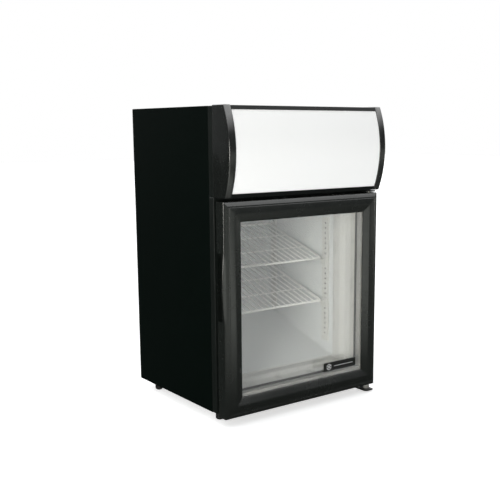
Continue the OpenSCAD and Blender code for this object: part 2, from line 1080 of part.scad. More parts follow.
// Tray behind the rear grille, with holes for the thermostat, the light switch and the inlet
module control_plate() {
  rim = 3;
  wall = 1.5;
  w = control_w - 1;
  h = control_h - 1;
  color([0.12, 0.12, 0.12])
    place()
      translate([control_x, 0, control_z])
        difference() {
          union() {
            span([-w / 2, plate_y, -h / 2], [w / 2, rear_sheet, h / 2]);
            span([-w / 2 - rim, rear_sheet - wall, -h / 2 - rim], [w / 2 + rim, rear_sheet, h / 2 + rim]);
          }
          span([-w / 2 + wall, plate_y + wall, -h / 2 + wall], [w / 2 - wall, rear_sheet + 1, h / 2 - wall]);
          translate([0, plate_y - 1, knob_z - control_z])
            rotate([-90, 0, 0])
              cylinder(h = 5, r = collar_r);
          translate([0, 0, rocker_z - control_z])
            span([-switch_w / 2, plate_y - 1, -switch_h / 2], [switch_w / 2, plate_y + 5, switch_h / 2]);
          translate([0, 0, inlet_z - control_z])
            span([-inlet_w / 2, plate_y - 1, -inlet_h / 2], [inlet_w / 2, plate_y + 5, inlet_h / 2]);
        }
}

// Round thermostat body with a threaded collar that carries the knob's shaft
module thermostat() {
  color([0.6, 0.61, 0.62])
    place()
      translate([control_x, plate_y, knob_z])
        rotate([-90, 0, 0])
          difference() {
            union() {
              translate([0, 0, -20])
                cylinder(h = 20, r = 18);
              cylinder(h = 2, r = collar_r);
            }
            translate([0, 0, -10])
              cylinder(h = 13, r = 3.08);
          }
}

// Switch housing with a well for the rocker and a blind hole for its pivot on each side
module light_switch() {
  well_w = rocker_w + 0.8;
  well_h = rocker_h + 2;
  color([0.05, 0.05, 0.05])
    place()
      translate([control_x, plate_y, rocker_z])
        difference() {
          union() {
            span([-switch_w / 2, -16, -switch_h / 2], [switch_w / 2, 1.5, switch_h / 2]);
            span(
              [-switch_w / 2 - 1.5, 1.5, -switch_h / 2 - 1.5],
              [switch_w / 2 + 1.5, 3.5, switch_h / 2 + 1.5]
            );
          }
          span([-well_w / 2, -10, -well_h / 2], [well_w / 2, 5, well_h / 2]);
          translate([-pivot_half - 0.3, 0, 0])
            rotate([0, 90, 0])
              cylinder(h = 2 * pivot_half + 0.6, r = pivot_r + 0.06);
        }
}

// Appliance inlet: a block with a five sided well and three flat pins
module power_inlet() {
  color([0.04, 0.04, 0.04])
    place()
      translate([control_x, plate_y, inlet_z]) {
        difference() {
          union() {
            span([-inlet_w / 2, -22, -inlet_h / 2], [inlet_w / 2, 1.5, inlet_h / 2]);
            span([-inlet_w / 2 - 4, 1.5, -inlet_h / 2 - 1.5], [inlet_w / 2 + 4, 4, inlet_h / 2 + 1.5]);
          }
          along_y(-14, 20)
            polygon([[-12.5, -8.5], [12.5, -8.5], [12.5, 3], [7, 8.5], [-7, 8.5], [-12.5, 3]]);
        }
        for (pin = [[-7, -2], [0, 2], [7, -2]])
          span([pin[0] - 1, -14 - eps, pin[1] - 2], [pin[0] + 1, -1, pin[1] + 2]);
      }
}

module thermostat_knob() {
  ribs = 18;
  color([0.85, 0.85, 0.83])
    place()
      translate([control_x, plate_y + 2.4, knob_z])
        rotate([-90, 0, 0])
          difference() {
            union() {
              cylinder(h = 12, r = knob_r - 1);
              for (i = [0:ribs - 1])
                rotate([0, 0, 360 / ribs * i])
                  translate([knob_r - 2, -1, 0])
                    cube([1.8, 2, 10]);
              translate([0, 0, -10])
                cylinder(h = 10 + eps, r = 3);
            }
            translate([-1, 4, 11])
              cube([2, 14, 3]);
          }
}

// Rocker with two faces that meet at a shallow angle, tilted to its off side on two pivots
module light_rocker() {
  rocker_half = rocker_h / 2 - 0.6;
  color([0.06, 0.06, 0.06])
    place()
      translate([control_x, plate_y, rocker_z])
        rotate([8, 0, 0]) {
          along_x(rocker_w)
            polygon([
              [-3, -4], [-3, 4], [3.5, rocker_half], [6.2, rocker_half], [4.4, 0],
              [6.2, -rocker_half], [3.5, -rocker_half]
            ]);
          translate([-pivot_half, 0, 0])
            rotate([0, 90, 0])
              cylinder(h = 2 * pivot_half, r = pivot_r);
        }
}

// ---------- fasteners and feet ----------

module screw_head(x, z) {
  translate([x, rear_sheet + 1, z])
    rotate([-90, 0, 0])
      cylinder(h = 1, r = 3.5);
}

module case_screws() {
  inset = 7;
  color([0.5, 0.5, 0.5])
    place() {
      for (x = [-half_w + inset, half_w - inset])
        for (z = [12, 160, 310, machine_z - 8, machine_z + 10, body_h - 60, body_h - 10])
          screw_head(x, z);
      for (x = [-70, 70])
        for (z = [12, machine_z - 8, machine_z + 10, body_h - 10])
          screw_head(x, z);
      for (z = [8, 32, 428, 450])
        translate([(flange_x + half_w - 2) / 2, body_front - 3, z])
          rotate([-90, 0, 0])
            cylinder(h = 1, r = 3.8);
    }
}

// Moulded foot on a threaded stud, under the cabinet's right side
module foot(y) {
  foot_top = foot_h - 0.3;
  stud_h = 14;
  translate([half_w - foot_inset, y, -foot_h]) {
    rotate_extrude()
      polygon([
        [0, 0], [foot_r - 3, 0], [foot_r - 0.9, 0.9], [foot_r, 3],
        [foot_r, foot_top - 1], [foot_r - 1, foot_top], [0, foot_top]
      ]);
    translate([0, 0, foot_top - eps])
      cylinder(h = stud_h, r = stud_r);
  }
}

module foot_front_right() {
  color([0.05, 0.05, 0.05])
    place()
      foot(foot_y_front);
}

module foot_front_left() {
  color([0.05, 0.05, 0.05])
    place()
      mirror([1, 0, 0])
        foot(foot_y_front);
}

module foot_rear_right() {
  color([0.05, 0.05, 0.05])
    place()
      foot(foot_y_rear);
}

module foot_rear_left() {
  color([0.05, 0.05, 0.05])
    place()
      mirror([1, 0, 0])
        foot(foot_y_rear);
}

side_panel_left();
side_panel_right();
top_cover();
back_panel();
rear_grille();
base_pan();
front_frame();
sign_fascia();
insulation_foam();
inner_liner();
mouth_breaker();
machine_deck();
shelf_pilasters();
shelf_clips();
shelf_upper();
shelf_lower();
evaporator_cover();
evaporator_coil();
evaporator_fan();
evaporator_fan_motor();
room_lamp();
sign_housing();
sign_panel();
sign_top_trim();
sign_bottom_trim();
sign_cap_left();
sign_cap_right();
sign_tubes();
sign_tube_holders();
door_stile_left();
door_stile_right();
door_rail_top();
door_rail_bottom();
door_glass_front();
door_glass_rear();
door_glass_spacer();
door_inner_frame();
door_gasket();
door_bushes();
door_badge();
hinge_bracket_top();
hinge_bracket_bottom();
hinge_pins();
compressor();
compressor_mounts();
condenser_coil();
condenser_fan();
condenser_fan_motor();
condenser_fan_shroud();
control_plate();
thermostat();
thermostat_knob();
light_switch();
light_rocker();
power_inlet();
case_screws();
foot_front_left();
foot_front_right();
foot_rear_left();
foot_rear_right();
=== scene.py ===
import json
from math import acos, cos, pi, radians, sin, sqrt, tan

import bmesh
import bpy
from mathutils import Matrix, Vector

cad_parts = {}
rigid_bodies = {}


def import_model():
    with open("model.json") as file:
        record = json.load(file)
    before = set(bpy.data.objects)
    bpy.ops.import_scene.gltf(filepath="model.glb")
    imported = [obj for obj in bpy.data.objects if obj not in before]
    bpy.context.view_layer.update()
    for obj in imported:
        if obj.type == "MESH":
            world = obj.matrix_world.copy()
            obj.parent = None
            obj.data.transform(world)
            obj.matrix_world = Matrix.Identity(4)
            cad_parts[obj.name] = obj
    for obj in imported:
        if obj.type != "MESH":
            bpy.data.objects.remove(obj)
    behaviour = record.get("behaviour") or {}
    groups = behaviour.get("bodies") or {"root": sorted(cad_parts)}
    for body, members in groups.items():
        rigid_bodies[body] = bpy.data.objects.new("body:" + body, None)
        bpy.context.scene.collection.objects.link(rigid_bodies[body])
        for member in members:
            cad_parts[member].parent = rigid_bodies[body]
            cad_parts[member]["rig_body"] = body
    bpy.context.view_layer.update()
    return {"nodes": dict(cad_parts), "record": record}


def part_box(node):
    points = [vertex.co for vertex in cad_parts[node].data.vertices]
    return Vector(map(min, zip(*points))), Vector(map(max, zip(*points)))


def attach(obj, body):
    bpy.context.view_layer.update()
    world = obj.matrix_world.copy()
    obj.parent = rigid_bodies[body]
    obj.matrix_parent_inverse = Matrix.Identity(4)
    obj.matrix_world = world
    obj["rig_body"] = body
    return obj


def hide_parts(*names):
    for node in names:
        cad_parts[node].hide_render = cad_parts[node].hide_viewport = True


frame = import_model()

# ---------------------------------------------------------------- places
# Shapes are written in millimetres in the cabinet's own coordinates: X from its middle, Y from the
# seal datum 8 mm behind the front frame's face, Z from the case's underside.
MM = 0.001


def datum():
    left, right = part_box("side_panel_left")[0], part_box("side_panel_right")[1]
    return Vector(((left.x + right.x) / 2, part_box("front_frame")[0].y + 8 * MM, left.z))


ORIGIN = datum()


def place(p):
    return ORIGIN + Vector(p) * MM


def cab(node):
    """Lowest and highest corners of a CAD node in cabinet millimetres."""
    low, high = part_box(node)
    return (low - ORIGIN) / MM, (high - ORIGIN) / MM


# ---------------------------------------------------------------- node materials
def link(nt, a, b):
    nt.links.new(a, b)


def fill(node, **values):
    """Sets a node's own sockets, named with _ for a space."""
    for socket, value in values.items():
        node.inputs[socket.replace("_", " ")].default_value = value


def add(nt, kind, **values):
    node = nt.nodes.new("ShaderNode" + kind)
    fill(node, **values)
    return node


def object_coords(nt, scale):
    mapping = add(nt, "Mapping", Scale=scale)
    link(nt, add(nt, "TexCoord").outputs["Object"], mapping.inputs["Vector"])
    return mapping.outputs["Vector"]


def noise(nt, vector, scale, detail, rough):
    n = add(nt, "TexNoise", Scale=scale, Detail=detail, Roughness=rough)
    link(nt, vector, n.inputs["Vector"])
    return n.outputs["Fac"]


def span(nt, value, a, b, from_low=0.3, from_high=0.7):
    """Maps from_low to a and from_high to b, and holds beyond them."""
    m = add(nt, "MapRange", From_Min=from_low, From_Max=from_high, To_Min=a, To_Max=b)
    link(nt, value, m.inputs["Value"])
    return m.outputs["Result"]


def tones(nt, value, low, high):
    ramp = add(nt, "ValToRGB")
    for stop, position, colour in zip(ramp.color_ramp.elements, (0.3, 0.7), (low, high)):
        stop.position = position
        stop.color = (*colour, 1)
    link(nt, value, ramp.inputs["Fac"])
    return ramp.outputs["Color"]


def maths(nt, kind, a, b):
    m = add(nt, "Math")
    m.operation = kind
    for socket, v in zip(m.inputs, (a, b)):
        if isinstance(v, (int, float)):
            socket.default_value = v
        else:
            link(nt, v, socket)
    return m.outputs[0]


def mixed(nt, kind, factor, a, b):
    """A mix node's output, from sockets."""
    mix = add(nt, kind)
    for socket, source in zip(mix.inputs, (factor, a, b)):
        link(nt, source, socket)
    return mix.outputs[0]


def bump(nt, height, strength, distance, below=None):
    b = add(nt, "Bump", Strength=strength, Distance=distance)
    link(nt, height, b.inputs["Height"])
    if below is not None:
        link(nt, below, b.inputs["Normal"])
    return b.outputs["Normal"]


def node_material(name):
    mat = bpy.data.materials.new(name)
    mat.use_nodes = True
    return mat, mat.node_tree, mat.node_tree.nodes["Principled BSDF"]


GRAIN_MM = 0.05
DUST = (0.32, 0.31, 0.29, 1)


def surface(
    name, base, rough, tone=0.12, tone_scale=18.0, rough_span=0.08, grain=900.0, grain_depth=0.02,
    metal=0.0, specular=0.5, stretch=(1, 1, 1), coat=0.0, coat_rough=0.1, dust=0.0,
    wave_mm=0.0, wave_scale=12.0
):
    """A finish with drifting tone, uneven gloss, a fine grain and, on sheet metal, a slow waviness."""
    mat, nt, bsdf = node_material(name)
    at = object_coords(nt, stretch)
    low = tuple(c * (1 - tone) for c in base)
    high = tuple(min(1.0, c * (1 + tone)) for c in base)
    colour = tones(nt, noise(nt, at, tone_scale, 4.0, 0.6), low, high)
    if dust:
        split = add(nt, "SeparateXYZ")
        link(nt, add(nt, "NewGeometry").outputs["Normal"], split.inputs[0])
        up = span(nt, split.outputs["Z"], 0, dust, 0.2, 1.0)
        speck = span(nt, noise(nt, at, 60.0, 5.0, 0.7), 0.3, 1.0)
        mix = add(nt, "Mix")
        mix.data_type = "RGBA"
        link(nt, maths(nt, "MULTIPLY", up, speck), mix.inputs[0])
        link(nt, colour, mix.inputs[6])
        mix.inputs[7].default_value = DUST
        colour = mix.outputs[2]
    link(nt, colour, bsdf.inputs["Base Color"])
    gloss = noise(nt, at, tone_scale * 2.3, 5.0, 0.65)
    link(nt, span(nt, gloss, rough - rough_span, rough + rough_span), bsdf.inputs["Roughness"])
    fine = bump(nt, noise(nt, at, grain, 2.0, 0.5), grain_depth * 10, GRAIN_MM * MM)
    if wave_mm:
        fine = bump(nt, noise(nt, at, wave_scale, 1.0, 0.4), 1.0, wave_mm * MM, fine)
    link(nt, fine, bsdf.inputs["Normal"])
    fill(bsdf, Metallic=metal, Specular_IOR_Level=specular, Coat_Weight=coat, Coat_Roughness=coat_rough)
    return mat


def clear_glass(name, tint):
    """Window glass: lamps shine through it, and the eye sees its own gloss and a faint tint."""
    mat, nt, bsdf = node_material(name)
    fill(bsdf, Base_Color=(*tint, 1), Transmission_Weight=1.0, IOR=1.45)
    smear = noise(nt, object_coords(nt, (1, 1, 0.35)), 14.0, 4.0, 0.6)
    link(nt, span(nt, smear, 0.0, 0.012, 0.35, 0.8), bsdf.inputs["Roughness"])
    clear = add(nt, "BsdfTransparent", Color=(0.94, 0.945, 0.94, 1))
    path = add(nt, "LightPath")
    mix = mixed(nt, "MixShader", path.outputs["Is Shadow Ray"], bsdf.outputs[0], clear.outputs[0])
    link(nt, mix, nt.nodes["Material Output"].inputs["Surface"])
    return mat


def lit_panel(name, base, glow, rough=0.3):
    """White plastic with some light coming through it."""
    mat = surface(name, base, rough, tone=0.006, tone_scale=6, rough_span=0.02, grain=500,
                  grain_depth=0.004, specular=0.2)
    fill(mat.node_tree.nodes["Principled BSDF"], Emission_Color=(1, 1, 1, 1), Emission_Strength=glow)
    return mat


PAINT = surface("black_powder_coat", (0.0011, 0.0029, 0.0022), 0.46, tone=0.05, tone_scale=7,
                rough_span=0.03, grain=1500, grain_depth=0.016, specular=0.05, dust=0.006, wave_mm=0.07,
                wave_scale=7)
EDGE_PAINT = surface("black_frame_coat", (0.0055, 0.0075, 0.0066), 0.40, tone=0.10, tone_scale=11, grain=1400,
                     grain_depth=0.012, specular=0.20, dust=0.008)
FRAME_PAINT = surface("grey_green_frame", (0.0064, 0.0082, 0.0072), 0.25, tone=0.08, tone_scale=9,
                      grain=1300, rough_span=0.05, grain_depth=0.008, wave_mm=0.08, wave_scale=16)
SIGN_BLACK = surface("gloss_black_moulding", (0.0042, 0.0056, 0.0050), 0.24, tone=0.08, rough_span=0.05,
                     grain=700, grain_depth=0.002, coat=0.7)
TRIM_BLACK = surface("black_trim", (0.0036, 0.0046, 0.0046), 0.34, tone=0.08, rough_span=0.05, grain=700,
                     grain_depth=0.004, specular=0.12)
LINER = surface("white_liner", (0.548, 0.566, 0.566), 0.34, tone=0.02, tone_scale=8, grain=420,
                grain_depth=0.012)
BREAKER = surface("white_mouth", (0.45, 0.45, 0.435), 0.30, tone=0.02, tone_scale=8, grain=420,
                  grain_depth=0.010)
WIRE = surface("white_epoxy_wire", (0.77, 0.77, 0.75), 0.30, tone=0.03, tone_scale=60, grain=700)
STEEL = surface("zinc_sheet", (0.44, 0.45, 0.45), 0.38, tone=0.07, tone_scale=30, rough_span=0.10, metal=0.35,
                grain=260, grain_depth=0.01, dust=0.05)
BRACKET = surface("satin_steel", (0.46, 0.47, 0.46), 0.36, tone=0.10, tone_scale=40, metal=0.5,
                  stretch=(1, 1, 9), grain=500, grain_depth=0.015)
SCREW = surface("zinc_screw", (0.52, 0.52, 0.50), 0.30, tone_scale=200, metal=0.5, grain=1500)
FOAM = surface("yellow_foam", (0.62, 0.50, 0.26), 0.85, tone=0.15, tone_scale=90, grain=500, grain_depth=0.06)
RAIL = surface("white_rail", (0.50, 0.50, 0.48), 0.38, tone=0.03, tone_scale=30, grain=700, grain_depth=0.015)
GLASS = clear_glass("door_glass", (0.985, 0.99, 0.987))
SPACER = surface("spacer_bar", (0.225, 0.225, 0.215), 0.42, tone=0.04, tone_scale=20, metal=0.25,
                 grain_depth=0.006)
BLACK = surface("black_plastic", (0.012, 0.0125, 0.013), 0.42, grain=1100, dust=0.02)
RUBBER = surface("seal_rubber", (0.016, 0.016, 0.016), 0.62, tone=0.15, grain=800, grain_depth=0.03)
GREY = surface("grey_plastic", (0.36, 0.365, 0.36), 0.40, tone=0.06, grain=1000, grain_depth=0.015)
NYLON = surface("white_nylon", (0.68, 0.66, 0.60), 0.42, tone=0.05, grain_depth=0.015)
TRAY = surface("white_tray", (0.80, 0.80, 0.785), 0.40, tone=0.03, grain_depth=0.01)
FIN = surface("fin_aluminium", (0.60, 0.61, 0.62), 0.30, tone=0.08, tone_scale=80, metal=0.5)
# dark fin paint, also used as the painted shade on the strips behind the shelf rails' slots
DARK_FIN_AND_SHADE = surface("fin_paint_and_painted_shade", (0.030, 0.029, 0.028), 0.45, tone=0.2, tone_scale=60, dust=0.10)
DARK_METAL = surface("compressor_paint", (0.010, 0.010, 0.0115), 0.30, tone=0.15, tone_scale=25, grain=500,
                     grain_depth=0.03, dust=0.12)
COPPER = surface("copper_tube", (0.60, 0.26, 0.13), 0.32, tone=0.18, tone_scale=90, metal=0.6)
SIGN_WHITE = lit_panel("sign_acrylic", (0.79, 0.80, 0.80), 0.26)
LAMP = lit_panel("lamp_cover", (0.90, 0.90, 0.87), 0.25)
TUBE = lit_panel("sign_tube_glass", (0.92, 0.92, 0.90), 1.2, rough=0.15)
MARK = surface("white_print", (0.80, 0.81, 0.82), 0.5, tone=0.04)


# ---------------------------------------------------------------- mesh helpers
def welded(mesh, distance):
    """A mesh opened for work, with the points closer than distance joined."""
    bm = bmesh.new()
    bm.from_mesh(mesh)
    bmesh.ops.remove_doubles(bm, verts=bm.verts, dist=distance)
    return bm


def finish_mesh(bm, mesh):
    bmesh.ops.recalc_face_normals(bm, faces=bm.faces)
    bm.to_mesh(mesh)
    bm.free()
    return mesh


def join_up(name, shapes):
    """One mesh from several (vertices, faces) pairs, in cabinet millimetres."""
    verts, faces = [], []
    for v, f in shapes:
        base = len(verts)
        verts += [tuple(p) for p in v]
        faces += [tuple(base + i for i in q) for q in f]
    mesh = bpy.data.meshes.new(name)
    mesh.from_pydata([tuple(place(p)) for p in verts], [], faces)
    bm = welded(mesh, 1e-6)
    bmesh.ops.dissolve_degenerate(bm, edges=bm.edges, dist=1e-6)
    return finish_mesh(bm, mesh)


def add_object(name, data):
    ob = bpy.data.objects.new(name, data)
    bpy.context.scene.collection.objects.link(ob)
    return ob


def piece(name, shapes, body, slot, material, replaces=(), angle=32, bevel=0.0, cut=()):
    """Adds one finished piece: its mesh, soft edges, material and body, and hides the CAD nodes it stands
    for. Its slot argument is not used.
    """
    mesh = shapes if isinstance(shapes, bpy.types.Mesh) else join_up(name, shapes)
    ob = add_object(name, mesh)
    mesh.materials.clear()
    mesh.materials.append(material)
    for cutter in cut:
        subtract(ob, cutter)
    mesh = ob.data
    mesh.polygons.foreach_set("use_smooth", [True] * len(mesh.polygons))
    mesh.set_sharp_from_angle(angle=radians(angle))
    if bevel:
        soft = ob.modifiers.new("soft_edges", "BEVEL")
        soft.width = bevel * MM
        soft.segments = 2
        soft.limit_method = "ANGLE"
        soft.angle_limit = radians(angle)
        soft.use_clamp_overlap = True
        soft.harden_normals = True
        soft.miter_outer = "MITER_ARC"
    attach(ob, body)
    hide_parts(*replaces)
    return ob


def subtract(ob, shapes):
    """Cuts shapes that don't overlap each other out of an object's mesh."""
    tool = add_object("cutter", join_up("cutter", shapes))
    cut = ob.modifiers.new("cut", "BOOLEAN")
    cut.object = tool
    cut.operation = "DIFFERENCE"
    cut.solver = "EXACT"
    bpy.context.view_layer.update()
    done = bpy.data.meshes.new_from_object(ob.evaluated_get(bpy.context.evaluated_depsgraph_get()))
    ob.modifiers.remove(cut)
    old = ob.data
    ob.data = done
    bpy.data.meshes.remove(old)
    spare = tool.data
    bpy.data.objects.remove(tool)
    bpy.data.meshes.remove(spare)


def loft(rings, caps=True, around=True):
    """Skin over rings of points that all have the same number of points. around joins each ring's ends."""
    n = len(rings[0])
    verts = [p for ring in rings for p in ring]
    faces = []
    for r in range(len(rings) - 1):
        for i in range(n if around else n - 1):
            j = (i + 1) % n
            faces.append((r * n + i, r * n + j, (r + 1) * n + j, (r + 1) * n + i))
    if caps:
        faces.append(tuple(range(n))[::-1])
        faces.append(tuple((len(rings) - 1) * n + i for i in range(n)))
    return verts, faces


def prism_x(outline, x0, x1):
    return loft([[(x0, y, z) for y, z in outline], [(x1, y, z) for y, z in outline]])


def prism_y(outline, y0, y1):
    return loft([[(x, y0, z) for x, z in outline], [(x, y1, z) for x, z in outline]])


def prism_z(outline, z0, z1):
    return loft([[(x, y, z0) for x, y in outline], [(x, y, z1) for x, y in outline]])


def plate_y(cx, cz, w, h, r, y0, y1):
    """An upright plate with round corners, about a middle."""
    return prism_y(box_outline(cx, cz, w, h, r), y0, y1)


def brick(low, high):
    (a, b, c), (d, e, f) = low, high
    return prism_z([(a, b), (d, b), (d, e), (a, e)], c, f)


def rounded(points, radius, steps=4):
    """Rounds the corners of an outline. radius is one number or one for each corner."""
    out = []
    for i, p in enumerate(points):
        r = radius[i] if isinstance(radius, (list, tuple)) else radius
        p, a, b = Vector(p), Vector(points[i - 1]), Vector(points[(i + 1) % len(points)])
        if r <= 0:
            out.append(tuple(p))
            continue
        to_a, to_b = (a - p).normalized(), (b - p).normalized()
        half = acos(max(-0.9999, min(0.9999, to_a.dot(to_b)))) / 2
        reach = min(r / tan(half), 0.48 * (a - p).length, 0.48 * (b - p).length)
        p0, p1 = p + to_a * reach, p + to_b * reach
        for k in range(steps + 1):
            t = k / steps
            out.append(tuple(p0 * (1 - t) ** 2 + p * 2 * t * (1 - t) + p1 * t * t))
    return out


def box_outline(cx, cy, w, h, r, steps=5):
    """Outline of a rectangle with round corners, about a middle."""
    return rounded([(cx + w / 2, cy + h / 2), (cx - w / 2, cy + h / 2), (cx - w / 2, cy - h / 2),
                    (cx + w / 2, cy - h / 2)], r, steps)


def rect_ring(half, low, high, y, r):
    """A ring in an upright plane: half its width, its lower and upper levels, its depth and corner radius."""
    return [(x, y, z) for x, z in box_outline(0, (low + high) / 2, 2 * half, high - low, r, 6)]


def stepped(rect, steps):
    """rect_ring's arguments for (half width, low, high) set in by s, at each (s, depth, corner radius)."""
    half, low, high = rect
    return [(half - s, low + s, high - s, y, r) for s, y, r in steps]


def pressing(rects):
    """A solid through rings given as rect_ring's arguments, closed at both ends."""
    return loft([rect_ring(*r) for r in rects])


def around_opening(rects):
    """A closed band through rings given as rect_ring's arguments, joined back to the first."""
    return loft([rect_ring(*r) for r in rects + rects[:1]], caps=False)


def turned(centre, axis, r, a, h):
    """The point at radius r, angle a and height h about an axis through centre."""
    c, s = r * cos(a), r * sin(a)
    p = {"z": (c, s, h), "y": (c, h, s), "x": (h, c, s)}[axis]
    return tuple(centre[k] + p[k] for k in range(3))


def lathe(profile, centre, axis, n, flute=None):
    """Turns (radius, height) points about an axis through a point. flute(angle, height) scales the radius."""
    rings = []
    for i in range(n + 1):
        a = 2 * pi * (i % n) / n
        rings.append([turned(centre, axis, r * (flute(a, h) if flute else 1), a, h) for r, h in profile])
    return loft(rings, caps=False, around=False)


def rod(path, r, n=10, closed=False):
    """A round wire along points, with domed ends."""
    pts = [Vector(p) for p in path]
    count = len(pts)
    turn = [2 * pi * k / n for k in range(n)]
    rings = []
    side = None
    for i, p in enumerate(pts):
        before = pts[i - 1] if closed else pts[max(i - 1, 0)]
        after = pts[(i + 1) % count] if closed else pts[min(i + 1, count - 1)]
        d = (after - before).normalized()
        side = side or d.orthogonal().normalized()
        side = (side - d * side.dot(d)).normalized()
        up = d.cross(side)

        def ring(middle, radius):
            return [tuple(middle + (side * cos(a) + up * sin(a)) * radius) for a in turn]

        dome = [(r * sin(b), r * cos(b)) for b in (1.35, 0.9, 0.45)]
        if not closed and i == 0:
            rings += [ring(p - d * out, radius) for out, radius in dome]
        rings.append(ring(p, r))
        if not closed and i == count - 1:
            rings += [ring(p + d * out, radius) for out, radius in dome[::-1]]
    if closed:
        rings.append(rings[0])
    return loft(rings, caps=not closed)


def finished(node, material, bevel=0.0, angle=32, merge=True):
    """A CAD node's own shape with soft edges and a finish, standing for that node.

    merge joins the triangles of each flat face, which is only for nodes without holes."""
    bm = welded(frame["nodes"][node].data, 2e-6)
    if merge:
        bmesh.ops.dissolve_limit(bm, angle_limit=radians(0.6), verts=bm.verts, edges=bm.edges)
    mesh = finish_mesh(bm, bpy.data.meshes.new(node + "_finish"))
    return extra(node + "_finish", mesh, node, material, replaces=(node,), angle=angle, bevel=bevel)


def slot_of(node):
    for part in frame["record"]["subparts"]:
        if part["node"] == node:
            return part["material_slot"]
    return None


def dress(node, material):
    """Gives a CAD node that stays its finish."""
    data = frame["nodes"][node].data
    data.materials.clear()
    data.materials.append(material)


def body_of(node):
    return frame["nodes"][node]["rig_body"]


def extra(name, shapes, node, material, **options):
    """A piece on the body of a CAD node."""
    return piece(name, shapes, body_of(node), slot_of(node), material, **options)


def stand_in(node, shapes, material, **options):
    """A detailed piece in place of one CAD node, on its body."""
    return extra(node + "_detail", shapes, node, material, replaces=(node,), **options)


# ---------------------------------------------------------------- cabinet case
HALF_W = 215.0
BODY_H = 651.0
REAR = 333.0
FRONT = -8.0
SHEET = 1.2
MACHINE_Z = 466.0


def side_panel(side):
    x0, y0 = HALF_W - SHEET, FRONT + 16
    outline = [(x0 - 12, y0), (HALF_W, y0), (HALF_W, REAR), (x0 - 12, REAR), (x0 - 12, REAR - SHEET),
               (x0, REAR - SHEET), (x0, y0 + SHEET), (x0 - 12, y0 + SHEET)]
    bends = rounded(outline, [0, 2.2, 2.2, 0, 0, 1.0, 1.0, 0])
    return [prism_z([(side * x, y) for x, y in bends], 0, BODY_H)]


stand_in("side_panel_left", side_panel(-1), PAINT, bevel=0.35)
stand_in("side_panel_right", side_panel(1), PAINT, bevel=0.35)

# top cover: a flat sheet with rolled edges, pressed down lips, two fields of slots with rims
top_slots = []
for row in range(6):
    for sx in (-95, 95):
        y = 172.5 + 22 * row
        top_slots.append(prism_z(box_outline(sx, y, 120, 5, 2.4), BODY_H - 5, BODY_H + 2))
sheet = box_outline(0, (REAR + 9.2 - SHEET) / 2, 427.6, REAR - 10.4 - SHEET + 2.4, 1.2)
cover = [prism_z(sheet, BODY_H - SHEET, BODY_H)]
for y in (10.4 - SHEET, REAR - 4 * SHEET):
    top = 10.4 if y < 20 else y + SHEET
    cover.append(brick((-201, y, BODY_H - 18), (201, top, BODY_H - SHEET)))
stand_in("top_cover", cover, PAINT, cut=[top_slots], angle=40)

# front frame with a rolled outer edge round the mouth
stand_in("front_frame", [around_opening(
    stepped((215, 0, 466), [(0, 8, 3), (0, -6.6, 3), (0.4, -7.6, 3), (1.4, -8, 2.6)])
    + stepped((180, 38, 446), [(-1.2, -8, 2), (-0.3, -7.6, 2), (0, -6.6, 2), (0, 8, 2)])
)], EDGE_PAINT, angle=50)

stand_in("sign_fascia", [pressing(stepped((215, 466, 651), [
    (8, -6, 1), (8, 8, 1), (0, 8, 2), (0, -6.4, 2), (0.5, -7.5, 2), (1.6, -8, 2)
]))], EDGE_PAINT, angle=50)

# back panel with a pressed bead that stiffens it
stand_in("back_panel", [pressing(
    stepped((215, 0, 466), [(0, REAR, 1), (0, REAR + 0.8, 1), (0.4, REAR + 1, 1)])
    + stepped((190, 30, 438), [(0, REAR + 1, 12), (1.4, REAR + 1.7, 11), (4, REAR + 1.95, 9),
                               (8, REAR + 1.95, 7), (10.6, REAR + 1.7, 6), (12, REAR + 1, 5)])
)], STEEL, angle=50)

# rear grille: punched slots, each with a louvre pressed inward from its upper edge
CONTROL_X, CONTROL_Z = 128.0, 560.0
slots, louvres = [], []
for row in range(10):
    for column in range(2):
        cx, z = -135 + 134 * column, MACHINE_Z + 25.5 + 14.5 * row
        slots.append(plate_y(cx, z, 122, 7, 3.2, REAR - 2, REAR + 3))
        rings = []
        for k in range(6):
            a = radians(15 * k)
            y, zc = REAR + 0.4 - 6.5 * sin(a), z + 3.6 - 5.2 * (1 - cos(a)) * 1.2
            half = 60.5 - 5.0 * (k / 5) ** 2
            rings.append([(cx - half, y, zc), (cx + half, y, zc), (cx + half, y - 0.35, zc + 0.75),
                          (cx - half, y - 0.35, zc + 0.75)])
        louvres.append(loft(rings))
opening = [plate_y(CONTROL_X, CONTROL_Z, 86, 120, 2, REAR - 2, REAR + 3)]
stand_in("rear_grille", [plate_y(0, (MACHINE_Z + BODY_H) / 2, 430, BODY_H - MACHINE_Z, 2, REAR, REAR + 1)],
         EDGE_PAINT, cut=[slots, opening])
extra("rear_louvres", louvres, "rear_grille", EDGE_PAINT)

dress("base_pan", STEEL)
dress("machine_deck", STEEL)
dress("insulation_foam", FOAM)


# ---------------------------------------------------------------- cold compartment
ROOM = 175.0
FLOOR_START, FLOOR_Z, CEILING = 66.0, 52.0, 440.0
ROOM_BACK = 318.0
SLOPE = radians(17.2)
RISE = tan(SLOPE)


def rising(z, y0, y):
    return z + (y - y0) * RISE


def liner():
    """Inner skin with round corners and a floor that rises to the back, 2 mm thick."""
    inner, outer = [], []
    depth = ROOM_BACK - FLOOR_START
    for k in range(9):
        y = FLOOR_START + (depth - 12) * k / 8
        inner.append(rect_ring(ROOM, rising(FLOOR_Z, FLOOR_START, y), CEILING, y, 9))
    for k in range(1, 6):
        a = radians(18 * k)
        y, s = ROOM_BACK - 12 + 12 * sin(a), 12 * (1 - cos(a))
        inner.append(rect_ring(ROOM - s, rising(FLOOR_Z, FLOOR_START, y) + s, CEILING - s, y, 9 + s * 0.3))
    for y in (FLOOR_START, ROOM_BACK + 2):
        outer.append(rect_ring(ROOM + 2, rising(FLOOR_Z - 2, FLOOR_START, y), CEILING + 2, y, 8))
    return [loft(outer[::-1] + inner)]


stand_in("inner_liner", liner(), LINER, angle=40)


